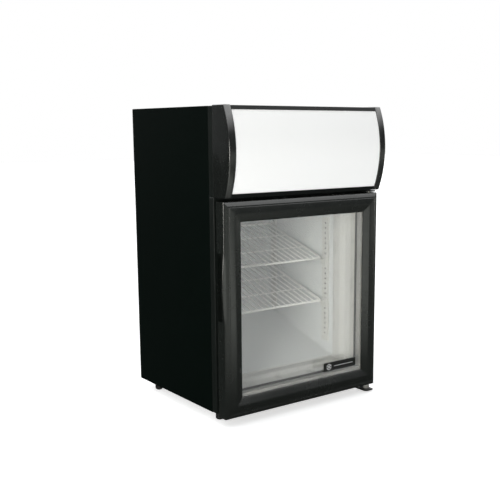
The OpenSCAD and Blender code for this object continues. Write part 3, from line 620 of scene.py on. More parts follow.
def mouth():
    """Mouth moulding: a rolled front lip, a step that narrows it behind the door and a flare at the liner."""
    rings = [(182, 38, 446, FLOOR_START, 3), (182, 38, 446, 8, 3), (180, 38, 446, 8, 3),
             (180, 38, 446, -6.5, 3), (179.7, 38.4, 445.6, -7.6, 4), (179.2, 39.5, 444.5, -8, 6),
             (178.5, 42, 441.5, -7.8, 8), (178.05, 42.9, 440.2, -6.8, 9)]
    for k in range(5):
        rings.append((178, 43 + k / 4, 440, -6 + 28 * k / 4, 9))
    for k in range(1, 9):
        t = k / 8
        s = t * t * (3 - 2 * t)
        rings.append((178 - 6 * s, 44 + 6 * s, 440 - 6 * s, 22 + 22 * t, 9))
    rings.append((172, 50, 434, 56, 9))
    for k in range(1, 5):
        t = k / 4
        rings.append((172 + 3 * t * t, 50 + 2 * t * t, 434 + 6 * t * t, 61 + 5 * t, 9))
    return [around_opening(rings)]


stand_in("mouth_breaker", mouth(), BREAKER, angle=50)
finished("shelf_pilasters", RAIL, merge=False, angle=40)
# dark strips behind the rails' slots: painted shade, so the slots read as shaded holes into the rail channels
rail_shade_strips = []
for side in (-1, 1):
    for y, low in ((93.0, 90.0), (305.0, 150.0)):
        outline = rounded([(y - 6, low), (y + 6, low), (y + 6, 388), (y - 6, 388)], 1.5, 3)
        flat = [(side * 174.75, a, b) for a, b in outline]
        rail_shade_strips.append(loft([flat, [(side * 173.9, a, b) for _, a, b in flat]]))
extra("shelf_rail_shade_strips", rail_shade_strips, "shelf_pilasters", DARK_FIN_AND_SHADE, angle=40)
finished("shelf_clips", RAIL, bevel=0.6)

SHELF_HALF, SHELF_FRONT, SHELF_LEN = 160.0, 94.0, 222.0
WIRE_PITCH = 17.0


def wire_shelf(z):
    """A bent frame rod, two cross rods and wires whose front ends turn down over the frame."""
    def at(x, v, h):
        c, s = cos(SLOPE), sin(SLOPE)
        return (x, SHELF_FRONT + v * c - h * s, z + v * s + h * c)

    frame_path = box_outline(0, SHELF_LEN / 2, 2 * SHELF_HALF, SHELF_LEN, 9, 6)
    shapes = [rod([at(x, v, 0) for x, v in frame_path], 2.5, 14, closed=True)]
    for v in (SHELF_LEN * 0.33, SHELF_LEN * 0.67):
        shapes.append(rod([at(SHELF_HALF * k / 2, v, -2.0) for k in range(-2, 3)], 1.5))
    count = int((2 * SHELF_HALF - 12) // WIRE_PITCH)
    for i in range(count + 1):
        x = -count * WIRE_PITCH / 2 + WIRE_PITCH * i
        path = [at(x, -1.9, -0.6), at(x, -1.7, 0.8), at(x, -0.8, 1.75), at(x, 0.8, 2.0)]
        path += [at(x, SHELF_LEN * k / 6, 2.0 - (0.25 if k % 2 else 0)) for k in range(1, 6)]
        path += [at(x, SHELF_LEN - 0.8, 2.0), at(x, SHELF_LEN + 0.8, 1.4)]
        shapes.append(rod(path, 1.5, 8))
    return shapes


stand_in("shelf_upper", wire_shelf(293), WIRE, angle=60)
stand_in("shelf_lower", wire_shelf(187), WIRE, angle=60)

# evaporator cover: a moulded tray under the ceiling with a fan guard and outlet slots
FAN_Y = 205.0
COVER = (122.0, 152.0, 312.0, 396.0)
half, y0, y1, z0 = COVER
outer_rings = [(half, CEILING, 8), (half, z0 + 5, 8), (half - 0.7, z0 + 2.2, 7.3), (half - 2.2, z0 + 0.7, 6),
               (half - 5, z0, 4)]
inner_rings = [(half - 2, CEILING, 6), (half - 2, z0 + 5, 6), (half - 5, z0 + 2, 4)]


def tray_ring(w, z, r):
    return [(x, y, z) for x, y in box_outline(0, (y0 + y1) / 2, 2 * w, 2 * w - 2 * half + y1 - y0, r)]


shell = [loft([tray_ring(*r) for r in inner_rings[::-1] + outer_rings])]
guard = []
for ring in range(4):
    for quarter in range(8):
        inner_r, outer_r = 9 + 8 * ring, 14 + 8 * ring
        gap = 1.5 / inner_r
        turn = [radians(45 * quarter) + gap + (radians(45) - 2 * gap) * k / 8 for k in range(9)]
        outline = [(inner_r * cos(a), FAN_Y + inner_r * sin(a)) for a in turn]
        outline += [(outer_r * cos(a), FAN_Y + outer_r * sin(a)) for a in turn[::-1]]
        guard.append(prism_z(outline, z0 - 1, z0 + 3))
outlets = [plate_y(-96 + 12 * i, (z0 + 10 + CEILING - 8) / 2, 8, CEILING - 18 - z0, 3.5, y0 - 1, y0 + 3)
           for i in range(17)]
stand_in("evaporator_cover", shell, BREAKER, cut=[guard, outlets], angle=40)


def coil(half, cx, y0, y1, z0, z1, tube, rows, fins):
    """Thin fins on tubes that turn back at both ends."""
    shapes = []
    for i in range(fins):
        x = cx - half + 0.2 + (2 * half - 0.4) * i / (fins - 1)
        shapes.append(brick((x - 0.2, y0, z0), (x + 0.2, y1, z1)))
    tubes = []
    rise, middle, reach = (z1 - z0) / rows, (y0 + y1) / 2, (y1 - y0) / 4
    for i in range(rows):
        z = z0 + rise * (i + 0.5)
        for side in (-1, 1):
            arc = [radians(a) for a in range(-90, 91, 15)]
            path = [(cx + side * (half + reach * cos(a)), middle + reach * sin(a), z) for a in arc]
            tubes.append(rod([(cx, middle - reach, z)] + path + [(cx, middle + reach, z)], tube, 12))
    return shapes, tubes


fins, tubes = coil(100, 0, 254, 302, 408, 439.6, 3.3, 2, 46)
stand_in("evaporator_coil", fins, FIN)
extra("evaporator_tubes", tubes, "evaporator_coil", COPPER, angle=60)


def axial_fan(centre, axis, tip, hub, height, blades):
    """A hub with a round shoulder and swept, cambered blades that thin toward their tips."""
    shapes = [lathe([(2.05, 0), (hub - 1.5, 0), (hub, 1.2), (hub, height - 2), (hub - 0.6, height - 0.8),
                     (hub - 2, height), (hub * 0.55, height), (hub * 0.5, height - 1.5), (4.5, height - 1.5),
                     (4, height), (2.05, height), (2.05, 0)], centre, axis, 48)]
    for b in range(blades):
        rings = []
        for k in range(9):
            t = k / 8
            r = hub - 1 + (tip - 0.3 - hub + 1) * t
            width = (0.50 - 0.10 * t) * (1 - 0.45 * max(0, t - 0.75) ** 2 / 0.0625)
            thick = 0.9 - 0.45 * t
            upper, lower = [], []
            for m in range(9):
                u = -1 + m / 4
                a = 2 * pi * b / blades + 0.30 * t * t + width * u
                h = height * (0.5 + (0.40 - 0.08 * t) * u) + 1.1 * (1 - u * u)
                skin = thick * (1 - u ** 4) + 0.15
                upper.append((r, a, min(height, h + skin / 2)))
                lower.append((r, a, max(0, h - skin / 2)))
            rings.append([turned(centre, axis, *point) for point in upper + lower[::-1]])
        shapes.append(loft(rings))
    return shapes


def motor(centre, axis, r, length, ribs):
    """A finned motor can with a boss and a stub shaft. Heights run from the can's closed end."""
    profile = [(0, 0), (r * 0.82, 0), (r * 0.95, 0.8), (r, 2.2), (r, length - 2.2), (r * 0.95, length - 0.8),
               (r * 0.8, length), (0, length)]

    def flute(a, h):
        wave = max(0.0, cos(ribs * a))
        return 1 - 0.04 * wave if 2 < h < length - 2 else 1

    return [lathe(profile, centre, axis, 144, flute)]


SMALL_FAN_Z = 401
stand_in("evaporator_fan", axial_fan((0, FAN_Y, SMALL_FAN_Z), "z", 39, 13, 11, 5), BLACK, angle=40)
small_motor_z = SMALL_FAN_Z + 11.4
strap = box_outline(FAN_Y, (small_motor_z + 20 + CEILING) / 2, 12, CEILING - small_motor_z - 20, 1)
stand_in("evaporator_fan_motor", motor((0, FAN_Y, small_motor_z), "z", 15, 18, 18) + [
    rod([(0, FAN_Y, small_motor_z - 9), (0, FAN_Y, small_motor_z + 1)], 2, 16),
    prism_z(box_outline(0, FAN_Y, 112, 12, 3), small_motor_z + 18, small_motor_z + 20),
    prism_x(strap, 52, 56),
    prism_x(strap, -56, -52),
], STEEL)


def lamp_outline(side, under):
    """The lamp's cross section, grown at its sides and under it."""
    edge, face = CEILING - 5 - under, CEILING - 11 - under
    return rounded([(92 - side, CEILING), (92 - side, edge), (96, face), (108, face), (112 + side, edge),
                    (112 + side, CEILING)], [0, 3, 4, 4, 3, 0], 6)


stand_in("room_lamp", [prism_x(lamp_outline(0, 0), -124, 124)], LAMP, angle=25, bevel=0.5)
grip_ends = lamp_outline(0.1, 0.2)
extra("room_lamp_ends", [prism_x(grip_ends, -130, -123), prism_x(grip_ends, 123, 130)], "room_lamp", GREY,
      angle=25, bevel=0.6)


# ---------------------------------------------------------------- sign box
SIGN_LOW, SIGN_HIGH, SIGN_MID = 465.0, 653.0, 559.0
BULGE = 20.0
SIGN_R = ((SIGN_HIGH - SIGN_LOW) ** 2 / 4 + BULGE ** 2) / (2 * BULGE)
SIGN_Y = -69.0
CAP_X = 198.0


def sign_curve(inset, z0, z1, steps=24):
    """Points down the sign's bowed front, set back by inset."""
    points = []
    for i in range(steps + 1):
        z = z0 + (z1 - z0) * i / steps
        points.append((SIGN_Y + SIGN_R - sqrt((SIGN_R - inset) ** 2 - (z - SIGN_MID) ** 2), z))
    return points


panel_outline = sign_curve(1.8, 470, 646, 40) + sign_curve(4.3, 470, 646, 40)[::-1]
stand_in("sign_panel", [prism_x(panel_outline, -CAP_X, CAP_X)], SIGN_WHITE, angle=40)

for node, z0, z1, lip in (("sign_top_trim", 643, 651.5, -1), ("sign_bottom_trim", 465.5, 474, 1)):
    # the lip in front of the panel's edge, a channel that holds it, and a shelf back to the tray
    outer = sign_curve(0.3, z0, z1, 6)
    seat = 646.15 if lip < 0 else 469.85
    edge = z0 if lip < 0 else z1
    hook = [sign_curve(4.45, edge, seat, 1), sign_curve(1.65, seat, edge, 1)]
    outline = outer + [(-40, z1), (-40, z0)] if lip < 0 else outer[::-1] + [(-40, z0), (-40, z1)]
    stand_in(node, [prism_x(outline + hook[0] + hook[1], -CAP_X, CAP_X)], TRIM_BLACK, bevel=0.35, angle=25)


def cap(side):
    """End cap: a bowed shell with a rounded outer rim and a fine step beside the panel."""
    rings = []
    for x, inset in ((CAP_X, 1.1), (CAP_X + 0.5, 0.35), (CAP_X + 1.4, 0.0), (CAP_X + 6, 0.0),
                     (CAP_X + 13.6, 0.0), (CAP_X + 15.5, 0.06), (CAP_X + 16.2, 0.35), (CAP_X + 16.8, 0.95),
                     (CAP_X + 17, 1.7)):
        low, high = SIGN_LOW + inset, SIGN_HIGH - inset
        front = sign_curve(inset, low, high, 36)
        outline = front + [(-8.0, high), (-8.0, low)]
        rings.append([(side * x, y, z) for y, z in rounded(outline, [2.5] + [0] * 35 + [2.5, 0, 0])])
    return [loft(rings)]


stand_in("sign_cap_left", cap(-1), SIGN_BLACK, angle=40)
stand_in("sign_cap_right", cap(1), SIGN_BLACK, angle=40)
dress("sign_housing", TRAY)
tray_top = cab("sign_housing")[1].z
skin = rounded([(-47, tray_top + 0.05), (-47, tray_top + 0.75), (-8.3, tray_top + 0.75),
               (-8.3, tray_top + 0.05)], [0, 0.35, 0.35, 0], 3)
extra("sign_top_skin", [prism_x(skin, -CAP_X + 0.2, CAP_X - 0.2)], "sign_top_trim", TRIM_BLACK, angle=30)
finished("sign_tube_holders", NYLON, bevel=0.6)
tube_shapes, tube_ends = [], []
for z in (520, 600):
    tube_shapes.append(lathe([(0, -138), (7.4, -138), (7.9, -137), (8, -135), (8, 135), (7.9, 137),
                              (7.4, 138), (0, 138)], (0, -38, z), "x", 40))
    for side in (-1, 1):
        rim = [(0, side * 138.1), (7.2, side * 138.1), (7.9, side * 138.8), (7.9, side * 143.2),
               (7.2, side * 144), (0, side * 144)]
        tube_ends.append(lathe(rim, (0, -38, z), "x", 40))
stand_in("sign_tubes", tube_shapes, TUBE, angle=40)
extra("sign_tube_ends", tube_ends, "sign_tubes", STEEL, angle=40)


# ---------------------------------------------------------------- door
DOOR_FRONT = -43.0
DOOR_LOW, DOOR_HIGH = -4.0, 458.0
MEMBER = 43.0
GRIP_Z, GRIP_LEN, GRIP_BOW = 279.0, 150.0, 4.0

# A member's section as (distance from its inner edge, depth behind the plane of its edges): a thin nose
# on the glass, a steep inner slope, the ridge, a long outer slope with a shallow groove, a sharp edge
SECTION = [(0, 1.4), (0, 0.3), (0.2, -0.15), (0.7, -0.5), (5, -2.13), (10, -4.03), (14.6, -5.75),
           (15.4, -6.05), (16.2, -6.3), (17.2, -6.42), (18.4, -6.4), (20.5, -6.15), (25.6, -5.38),
           (30.4, -4.45), (30.8, -4.15), (31.0, -3.75), (31.5, -3.5), (33.2, -3.2), (33.8, -3.25),
           (34.1, -3.6), (38, -2.0), (41.6, -0.55), (42.4, -0.1), (42.85, 0.4), (43, 1.2), (43, 4.4),
           (43, 5.0), (43, 24.5), (42.6, 26.6), (41.4, 28.4), (39.6, 29.6), (37.5, 30), (10.0, 30),
           (10.0, 25.1), (5.2, 25.1), (5.2, 1.4)]


def member(place_point, half_len, stations=(-1, 1), bow=None):
    """A mitred member: place_point(along, from inner edge, depth). Its ends follow the section outward."""
    rings = []
    for s in stations:
        ring = []
        for d, depth in SECTION:
            along = s * (half_len - MEMBER + d)
            if abs(s) < 1:
                along = s * (half_len - MEMBER)
            out = bow(along, d, depth) if bow else 0.0
            ring.append(place_point(along, d + out, depth))
        rings.append(ring)
    return [loft(rings)]


DOOR_MID = (DOOR_LOW + DOOR_HIGH) / 2
HALF_H = (DOOR_HIGH - DOOR_LOW) / 2
WINDOW_HALF = HALF_W - MEMBER
HINGE_AXIS = (203.0, -30.0, 0)


def on_hinge(profile):
    """A round part turned about the door's axis."""
    return lathe(profile, HINGE_AXIS, "z", 40)


seats = [on_hinge([(0, z - 1), (7.05, z - 1), (7.05, z + 11), (0, z + 11)])
         for z in (DOOR_LOW, DOOR_HIGH - 10)]


def grip_bow(along, d, depth):
    """The outer edge swells over the finger grip."""
    v = (along + DOOR_MID - GRIP_Z) / (GRIP_LEN / 2)
    if abs(v) >= 1 or not -0.3 < depth < 4.7 or d < 39:
        return 0.0
    return (GRIP_BOW - 0.05) * (1 - v * v) * min(1.0, (d - 38.5) / 4)


grip_stations = [-1, -0.99]
grip_stations += [(GRIP_Z - DOOR_MID + GRIP_LEN / 2 * v / 12) / (HALF_H - MEMBER) for v in range(-12, 13)]
grip_stations += [0.99, 1]
grip_slot = [plate_y(-HALF_W, GRIP_Z, 24, GRIP_LEN - 6, 6, DOOR_FRONT + 7.6, DOOR_FRONT + 25)]
stand_in("door_stile_left", member(lambda a, d, h: (-WINDOW_HALF - d, DOOR_FRONT + h, DOOR_MID + a), HALF_H,
                                   grip_stations, grip_bow), FRAME_PAINT, cut=[grip_slot], angle=24)
stand_in("door_stile_right", member(lambda a, d, h: (WINDOW_HALF + d, DOOR_FRONT + h, DOOR_MID + a), HALF_H),
         FRAME_PAINT, cut=[seats], angle=24)
stand_in("door_rail_top", member(lambda a, d, h: (a, DOOR_FRONT + h, DOOR_HIGH - MEMBER + d), HALF_W),
         FRAME_PAINT, cut=[seats], angle=24)
stand_in("door_rail_bottom", member(lambda a, d, h: (a, DOOR_FRONT + h, DOOR_LOW + MEMBER - d), HALF_W),
         FRAME_PAINT, cut=[seats], angle=24)
for node in ("door_glass_front", "door_glass_rear"):
    dress(node, GLASS)


# spacer bar between the panes: sealant behind, a hollow bar in front of it with a seam round its middle
bar = [(-0.7, -37.55, 3), (-0.2, -37.3, 3), (0, -36.7, 3), (0, -30.1, 3), (-0.7, -29.8, 3), (-0.7, -29.2, 3),
       (0, -28.9, 3), (0, -22.4, 3), (-0.2, -21.85, 3), (-0.7, -21.55, 3)]
stand_in("door_glass_spacer", [around_opening(
    [(176.8, 34.2, 419.8, -37.55, 1.5)] + stepped((171.8, 45.4, 414.8), bar)
    + [(176.8, 34.2, 419.8, -21.55, 1.5)]
)], SPACER, angle=40)
lip = [(-1.2, -18, 3), (-0.4, -17.6, 3), (0, -16.8, 3), (0, -14.2, 3), (-0.4, -13.4, 3), (-1.2, -13, 3)]
stand_in("door_inner_frame", [around_opening(
    [(181.8, 29.2, 424.8, -18, 3)] + stepped((171.2, 48.6, 414.2), lip) + [(181.8, 29.2, 424.8, -13, 3)]
)], BLACK, angle=50)

# magnetic gasket: a bulb on a folded bellows
bulbs = [(0, -12.95), (0.3, -11.9), (1.2, -11.1), (2.6, -11.3), (3.4, -12.0), (4.2, -11.6), (4.0, -10.6),
         (3.4, -9.6), (4.0, -8.7), (5.2, -8.32), (10.8, -8.32), (12.0, -8.7), (12.6, -9.6), (12.0, -10.6),
         (11.8, -11.6), (12.6, -12.0), (13.4, -11.3), (14.8, -11.1), (15.7, -11.9), (16, -12.95)]
stand_in("door_gasket", [around_opening(stepped((199, 10, 454), [(s, y, 6) for s, y in bulbs]))], RUBBER,
         angle=50)


def bush(z):
    return on_hinge([(4.1, z + 0.05), (6.4, z + 0.05), (6.95, z + 0.6), (6.95, z + 9.4), (6.4, z + 9.95),
                     (4.1, z + 9.95), (4.1, z + 0.05)])


stand_in("door_bushes", [bush(DOOR_LOW), bush(DOOR_HIGH - 10)], NYLON, angle=40)

# badge plate on the glass with a plain snowflake at its left and a bar to the right of it
BADGE_X, BADGE_Z, BADGE_Y = 106.0, 62.0, -42.6
stand_in("door_badge", [loft([
    [(x, y, z) for x, z in box_outline(BADGE_X, BADGE_Z, 98 - 2 * s, 21 - 2 * s, 2 - s * 0.5)]
    for s, y in ((0, BADGE_Y + 0.98), (0, BADGE_Y + 0.35), (0.35, BADGE_Y + 0.05), (1.3, BADGE_Y + 0.05),
                 (1.6, BADGE_Y + 0.3))
])], SIGN_BLACK, angle=30)
flake = []
FLAKE_X = BADGE_X - 33


def stroke(x0, z0_, x1, z1_, width):
    """A thin raised bar on the badge's face."""
    d = Vector((x1 - x0, z1_ - z0_)).normalized()
    n = Vector((-d.y, d.x)) * width / 2
    outline = [(x0 + n.x, z0_ + n.y), (x0 - n.x, z0_ - n.y), (x1 - n.x, z1_ - n.y), (x1 + n.x, z1_ + n.y)]
    return prism_y(rounded(outline, width * 0.3, 3), BADGE_Y + 0.02, BADGE_Y + 0.5)


for arm in range(6):
    a = radians(60 * arm + 30)
    ux, uz = cos(a), sin(a)
    flake.append(stroke(FLAKE_X, BADGE_Z, FLAKE_X + 7.8 * ux, BADGE_Z + 7.8 * uz, 1.0))
    for turn in (-1, 1):
        b = a + turn * radians(52)
        sx, sz = FLAKE_X + 4.6 * ux, BADGE_Z + 4.6 * uz
        flake.append(stroke(sx, sz, sx + 3.4 * cos(b), sz + 3.4 * sin(b), 0.8))
flake.append(stroke(BADGE_X - 18, BADGE_Z, BADGE_X + 40, BADGE_Z, 0.9))
extra("door_badge_mark", flake, "door_badge", MARK, angle=40)


# ---------------------------------------------------------------- hinges
def bracket(plate_z, y_front, flange_z0, flange_z1):
    """A flat plate under or over the door with a rounded nose, and a flange up or down the front frame."""
    x0, flange_x, x1, thick = 187.0, 202.0, 213.0, 3.0
    outline = rounded([(x0, FRONT), (x0, y_front), (x1, y_front), (x1, FRONT)], [0, 9, 5, 0], 6)
    flange = rounded([(flange_x, flange_z0), (x1, flange_z0), (x1, flange_z1), (flange_x, flange_z1)], 2, 3)
    return [prism_z(outline, plate_z, plate_z + thick), prism_y(flange, FRONT - 2, FRONT)]


stand_in("hinge_bracket_bottom", bracket(-19, -46, -17, 40), EDGE_PAINT, bevel=0.5)
stand_in("hinge_bracket_top", bracket(460, -42, 420, 462), EDGE_PAINT, bevel=0.5)
stand_in("hinge_pins", [
    on_hinge([(0, -16), (6.5, -16), (7, -15.4), (7, -5.2), (6.2, -4.4), (4, -4.4), (4, 3.6), (3.2, 4.6),
              (0, 4.6)]),
    on_hinge([(0, 449), (3.2, 449), (4, 449.9), (4, 460), (0, 460)])
], SCREW, angle=40)


# ---------------------------------------------------------------- cooling unit
DECK = MACHINE_Z + SHEET
COMP_X, COMP_Y, COMP_Z = 95.0, 215.0, DECK + 12
body = rounded([(48, 2.9), (56, 14), (58, 30), (58, 61.5)], [0, 6, 6, 0], 5)
shell = [(0, 2.9)] + body + [(59.2, 62), (60, 63.2), (60, 67.4), (59.2, 68.4), (58, 68.8)]
shell += rounded([(58, 69), (57, 96), (50, 112), (36, 121), (0, 125)], [0, 14, 14, 20, 0], 6)
foot_plate = prism_z(box_outline(COMP_X, COMP_Y, 170, 110, 14), COMP_Z, COMP_Z + 3)
plate_holes = [lathe([(0, -2), (5.05, -2), (5.05, 6), (0, 6)], (COMP_X + 76 * x, COMP_Y + 44 * y, COMP_Z),
                     "z", 32)
               for x in (-1, 1) for y in (-1, 1)]
stand_in("compressor", [lathe(shell, (COMP_X, COMP_Y, COMP_Z), "z", 96)], DARK_METAL, angle=35)
extra("compressor_plate", [foot_plate], "compressor", DARK_METAL, cut=[plate_holes], angle=40)
extra("compressor_terminal_cover", [loft([
    [(x, y, z) for x, z in box_outline(COMP_X, COMP_Z + 42, 46 - 2 * s, 40 - 2 * s, 6)]
    for s, y in ((0, COMP_Y - 52), (0, COMP_Y - 76), (0.7, COMP_Y - 78), (2.4, COMP_Y - 79))
])], "condenser_fan_motor", BLACK, angle=35)
mounts = []
for x in (-1, 1):
    for y in (-1, 1):
        at = (COMP_X + 76 * x, COMP_Y + 44 * y, DECK)
        mounts.append(lathe(rounded([(0, 0), (10, 0), (10, 4.4), (7.6, 6), (10, 7.6), (10, 12), (4.8, 12),
                                     (4.8, 15), (9, 15), (9, 19),
                            (0, 19)], [0, 1, 1, 1.5, 1, 0.8, 0, 0, 0.8, 1.4, 0], 3), at, "z", 36))
stand_in("compressor_mounts", mounts, RUBBER, angle=50)

FAN_X, FAN_AXIS_Z = -95.0, 560.0
fins, tubes = coil(82, FAN_X, 292, 318, DECK, DECK + 168, 3.8, 6, 56)
stand_in("condenser_coil", fins, DARK_FIN_AND_SHADE)
extra("condenser_tubes", tubes, "condenser_coil", COPPER, angle=60)
stand_in("condenser_fan", axial_fan((FAN_X, 253, FAN_AXIS_Z), "y", 55, 18, 16, 5), FIN, angle=40)
stand_in("condenser_fan_motor", motor((FAN_X, 212, FAN_AXIS_Z), "y", 24, 36, 24) + [
    rod([(FAN_X, 247, FAN_AXIS_Z), (FAN_X, 265, FAN_AXIS_Z)], 2, 16),
    plate_y(FAN_X, FAN_AXIS_Z, 132, 12, 3, 248, 250),
    prism_z(box_outline(FAN_X - 64, 262, 6, 28, 1), FAN_AXIS_Z - 6, FAN_AXIS_Z + 6),
    prism_z(box_outline(FAN_X + 64, 262, 6, 28, 1), FAN_AXIS_Z - 6, FAN_AXIS_Z + 6),
], DARK_METAL, angle=35)
ring_lip = [(58, -2.2), (58.8, -2.4), (59.4, -1.8), (59.4, 0), (58, 0), (58, -2.2)]
stand_in("condenser_fan_shroud", [plate_y(FAN_X, DECK + 86, 180, 172, 3, 276, 277.5)], STEEL,
         cut=[[lathe([(0, -3), (58, -3), (58, 3), (0, 3)], (FAN_X, 276.7, FAN_AXIS_Z), "y", 72)]], angle=40)
extra("condenser_fan_venturi", [lathe(ring_lip, (FAN_X, 276.2, FAN_AXIS_Z), "y", 72)],
      "condenser_fan_shroud", STEEL, angle=50)

suction = rounded([(60, 180, DECK + 112), (60, 168, DECK + 150), (20, 150, DECK + 150), (0, 150, DECK + 100),
                   (0, 150, DECK + 0.6)], [0, 14, 16, 18, 0], 6)
discharge = rounded([(62, 240, DECK + 120), (40, 262, DECK + 160), (4, 296, DECK + 160),
                    (-4, 305, DECK + 154)], [0, 14, 10, 0], 6)
drier = [(0, -34), (2.2, -34), (3.2, -30), (8, -24), (8, 24), (3.2, 30), (2.2, 34), (0, 34)]
capillary = rounded([(-4, 305, DECK + 14), (10, 300, DECK + 14), (14, 270, DECK + 14), (14, 250, DECK + 14)],
                    [0, 6, 6, 0], 4)
extra("refrigerant_pipes", [rod(suction, 4, 14), rod(discharge, 3, 14), rod(capillary, 2.4, 12),
                            lathe(drier, (14, 216, DECK + 14), "y", 36)],
      "condenser_coil", COPPER, angle=50)


# ---------------------------------------------------------------- controls at the back
PLATE_Y = REAR - 22
KNOB_Y, KNOB_Z = PLATE_Y + 2.4, CONTROL_Z + 30
finished("control_plate", BLACK, merge=False, angle=40)
finished("thermostat", BRACKET, merge=False, angle=40)
finished("light_switch", BLACK, merge=False, angle=40)
finished("light_rocker", GREY, bevel=0.35)
finished("power_inlet", BLACK, merge=False, angle=40)


def knob_flute(a, h):
    return 1 + (0.055 * max(0.0, cos(18 * a)) ** 2 if 0.5 < h < 11 else 0)


knob = [(0, -10), (2.7, -10), (3, -9.6), (3, 0), (15.6, 0), (15.9, 0.6), (15.9, 4), (15.7, 9.5),
        (15.3, 10.9), (14.6, 11.7), (13.4, 12), (11.5, 11.8), (10.5, 11.2), (0, 11.0)]
pointer = [plate_y(CONTROL_X, KNOB_Z + 9.5, 2, 7, 0.9, KNOB_Y + 10.4, KNOB_Y + 13)]
stand_in("thermostat_knob", [lathe(knob, (CONTROL_X, KNOB_Y, KNOB_Z), "y", 216, knob_flute)], GREY,
         cut=[pointer], angle=35)
dial = []
for k in range(10):
    a = radians(90 + 135 - 30 * k)
    dial.append(lathe([(0, 1.5), (1.1, 1.5), (0.9, 1.8), (0, 1.85)],
                      (CONTROL_X + 21.5 * cos(a), PLATE_Y, KNOB_Z + 21.5 * sin(a)), "y", 16))
extra("thermostat_dial_marks", dial, "sign_panel", MARK, angle=50)


# ---------------------------------------------------------------- feet and fasteners
def levelling_foot(x, y):
    """A straight moulded foot with a round bottom, a fine groove and a ribbed grip above it."""
    def rib(a, h):
        return 1 - (0.03 * (0.5 + 0.5 * cos(20 * a)) if 9 < h < 19 else 0)

    body = rounded([(0, 0), (6.4, 0), (9, 2.8), (9, 7.4), (8.5, 7.9), (8.5, 8.7), (9, 9.2), (9, 20.2),
                    (7.6, 21.6), (0, 21.6)], [0, 2, 1.6, 0, 0, 0, 0, 0.8, 0.8, 0], 4)
    return [lathe(body, (x, y, -22), "z", 160, rib)]


def stud(x, y):
    thread = [(0, -1)]
    for k in range(13):
        thread += [(3.95, -0.4 + k), (3.3, 0.1 + k)]
    return lathe(thread + [(3.2, 13.4), (0, 13.6)], (x, y, 0), "z", 24)


for node in ("foot_front_left", "foot_front_right", "foot_rear_left", "foot_rear_right"):
    low, high = cab(node)
    x, y = (low.x + high.x) / 2, (low.y + high.y) / 2
    stand_in(node, levelling_foot(x, y), BLACK, angle=35)
    piece(node + "_stud", [stud(x, y)], body_of(node), slot_of("case_screws"), SCREW, angle=40)


def screw():
    """A pan head with a cross recess, made once and copied. It faces +Y from its origin."""
    head = lathe([(0, 0), (3.5, 0), (3.5, 0.25), (3.3, 0.6), (2.7, 0.88), (1.6, 0.98), (0, 1.0)],
                 (0, 0, 0), "y", 32)
    ob = add_object("screw_head", join_up("screw_head", [head]))
    for x, z in ((2.1, 0.38), (0.38, 2.1)):
        subtract(ob, [brick((-x, 0.35, -z), (x, 2, z))])
    mesh = ob.data
    verts = [tuple((v.co - ORIGIN) / MM) for v in mesh.vertices]
    faces = [tuple(p.vertices) for p in mesh.polygons]
    bpy.data.objects.remove(ob)
    bpy.data.meshes.remove(mesh)
    return verts, faces


head_verts, head_faces = screw()
heads = []


def put_screw(x, y, z, facing, turn):
    c, s = cos(turn), sin(turn)
    verts = [(x + (px * c - pz * s) * facing, y + py * facing, z + px * s + pz * c)
             for px, py, pz in head_verts]
    heads.append((verts, head_faces))


turn = 0.3
rear_spots = [(x, z) for x in (-208, 208) for z in (12, 160, 310, 458, 476, 591, 641)]
rear_spots += [(x, z) for x in (-70, 70) for z in (12, 458, 476, 641)]
for x, z in rear_spots:
    turn += 1.1
    put_screw(x, REAR + 1, z, 1, turn)
for z in (8, 32, 428, 450):
    turn += 1.1
    put_screw(207.5, FRONT - 2, z, -1, turn)
stand_in("case_screws", heads, SCREW, angle=40)


# ---------------------------------------------------------------- floor, light and camera
def seen_direct(nt, path):
    """1 where the eye looks straight at something or through a pane at it, 0 for any other ray."""
    first = maths(nt, "LESS_THAN", path.outputs["Diffuse Depth"], 0.5)
    through = maths(nt, "MULTIPLY", path.outputs["Is Transmission Ray"], first)
    return maths(nt, "MAXIMUM", path.outputs["Is Camera Ray"], through)


def make_floor():
    """A plain pale floor. Glossy faces see it as a dim studio with a bright lane straight in front."""
    mesh = bpy.data.meshes.new("floor")
    size = 14.0
    corners = [(-size, -size, 0), (size, -size, 0), (size, size, 0), (-size, size, 0)]
    mesh.from_pydata(corners, [], [(0, 1, 2, 3)])
    mat = surface("pale_floor", (0.93, 0.93, 0.93), 0.65, tone=0.008, tone_scale=1.5, grain=300,
                  grain_depth=0.002, specular=0.1)
    nt = mat.node_tree
    bsdf = nt.nodes["Principled BSDF"]
    fill(bsdf, Emission_Color=(1, 1, 1, 1))
    path = add(nt, "LightPath")
    direct = seen_direct(nt, path)
    link(nt, maths(nt, "MULTIPLY", direct, 0.60), bsdf.inputs["Emission Strength"])
    where = add(nt, "TexCoord")
    split = add(nt, "SeparateXYZ")
    link(nt, where.outputs["Object"], split.inputs[0])
    ahead = maths(nt, "MULTIPLY", split.outputs["Y"], -1.0)
    beside = maths(nt, "ABSOLUTE", split.outputs["X"], 0.0)
    reach = add(nt, "VectorMath")
    reach.operation = "LENGTH"
    link(nt, where.outputs["Object"], reach.inputs[0])
    front = span(nt, ahead, 0.0, 1.0, 0.0, 0.6)
    lane = maths(nt, "MULTIPLY", span(nt, beside, 1.0, 0.0, 0.25, 0.65), span(nt, ahead, 0.0, 2.0, 0.45, 1.6))
    far = maths(nt, "MULTIPLY", span(nt, reach.outputs["Value"], 0.16, 0.55, 2.2, 3.4), front)
    glow = add(nt, "Emission", Color=(0.97, 1.0, 0.93, 1))
    link(nt, maths(nt, "ADD", maths(nt, "ADD", far, 0.05), lane), glow.inputs["Strength"])
    glossy = maths(nt, "SUBTRACT", path.outputs["Is Glossy Ray"], direct)
    mix = mixed(nt, "MixShader", glossy, bsdf.outputs[0], glow.outputs[0])
    link(nt, mix, nt.nodes["Material Output"].inputs["Surface"])
    mesh.materials.append(mat)
    add_object("floor", mesh)


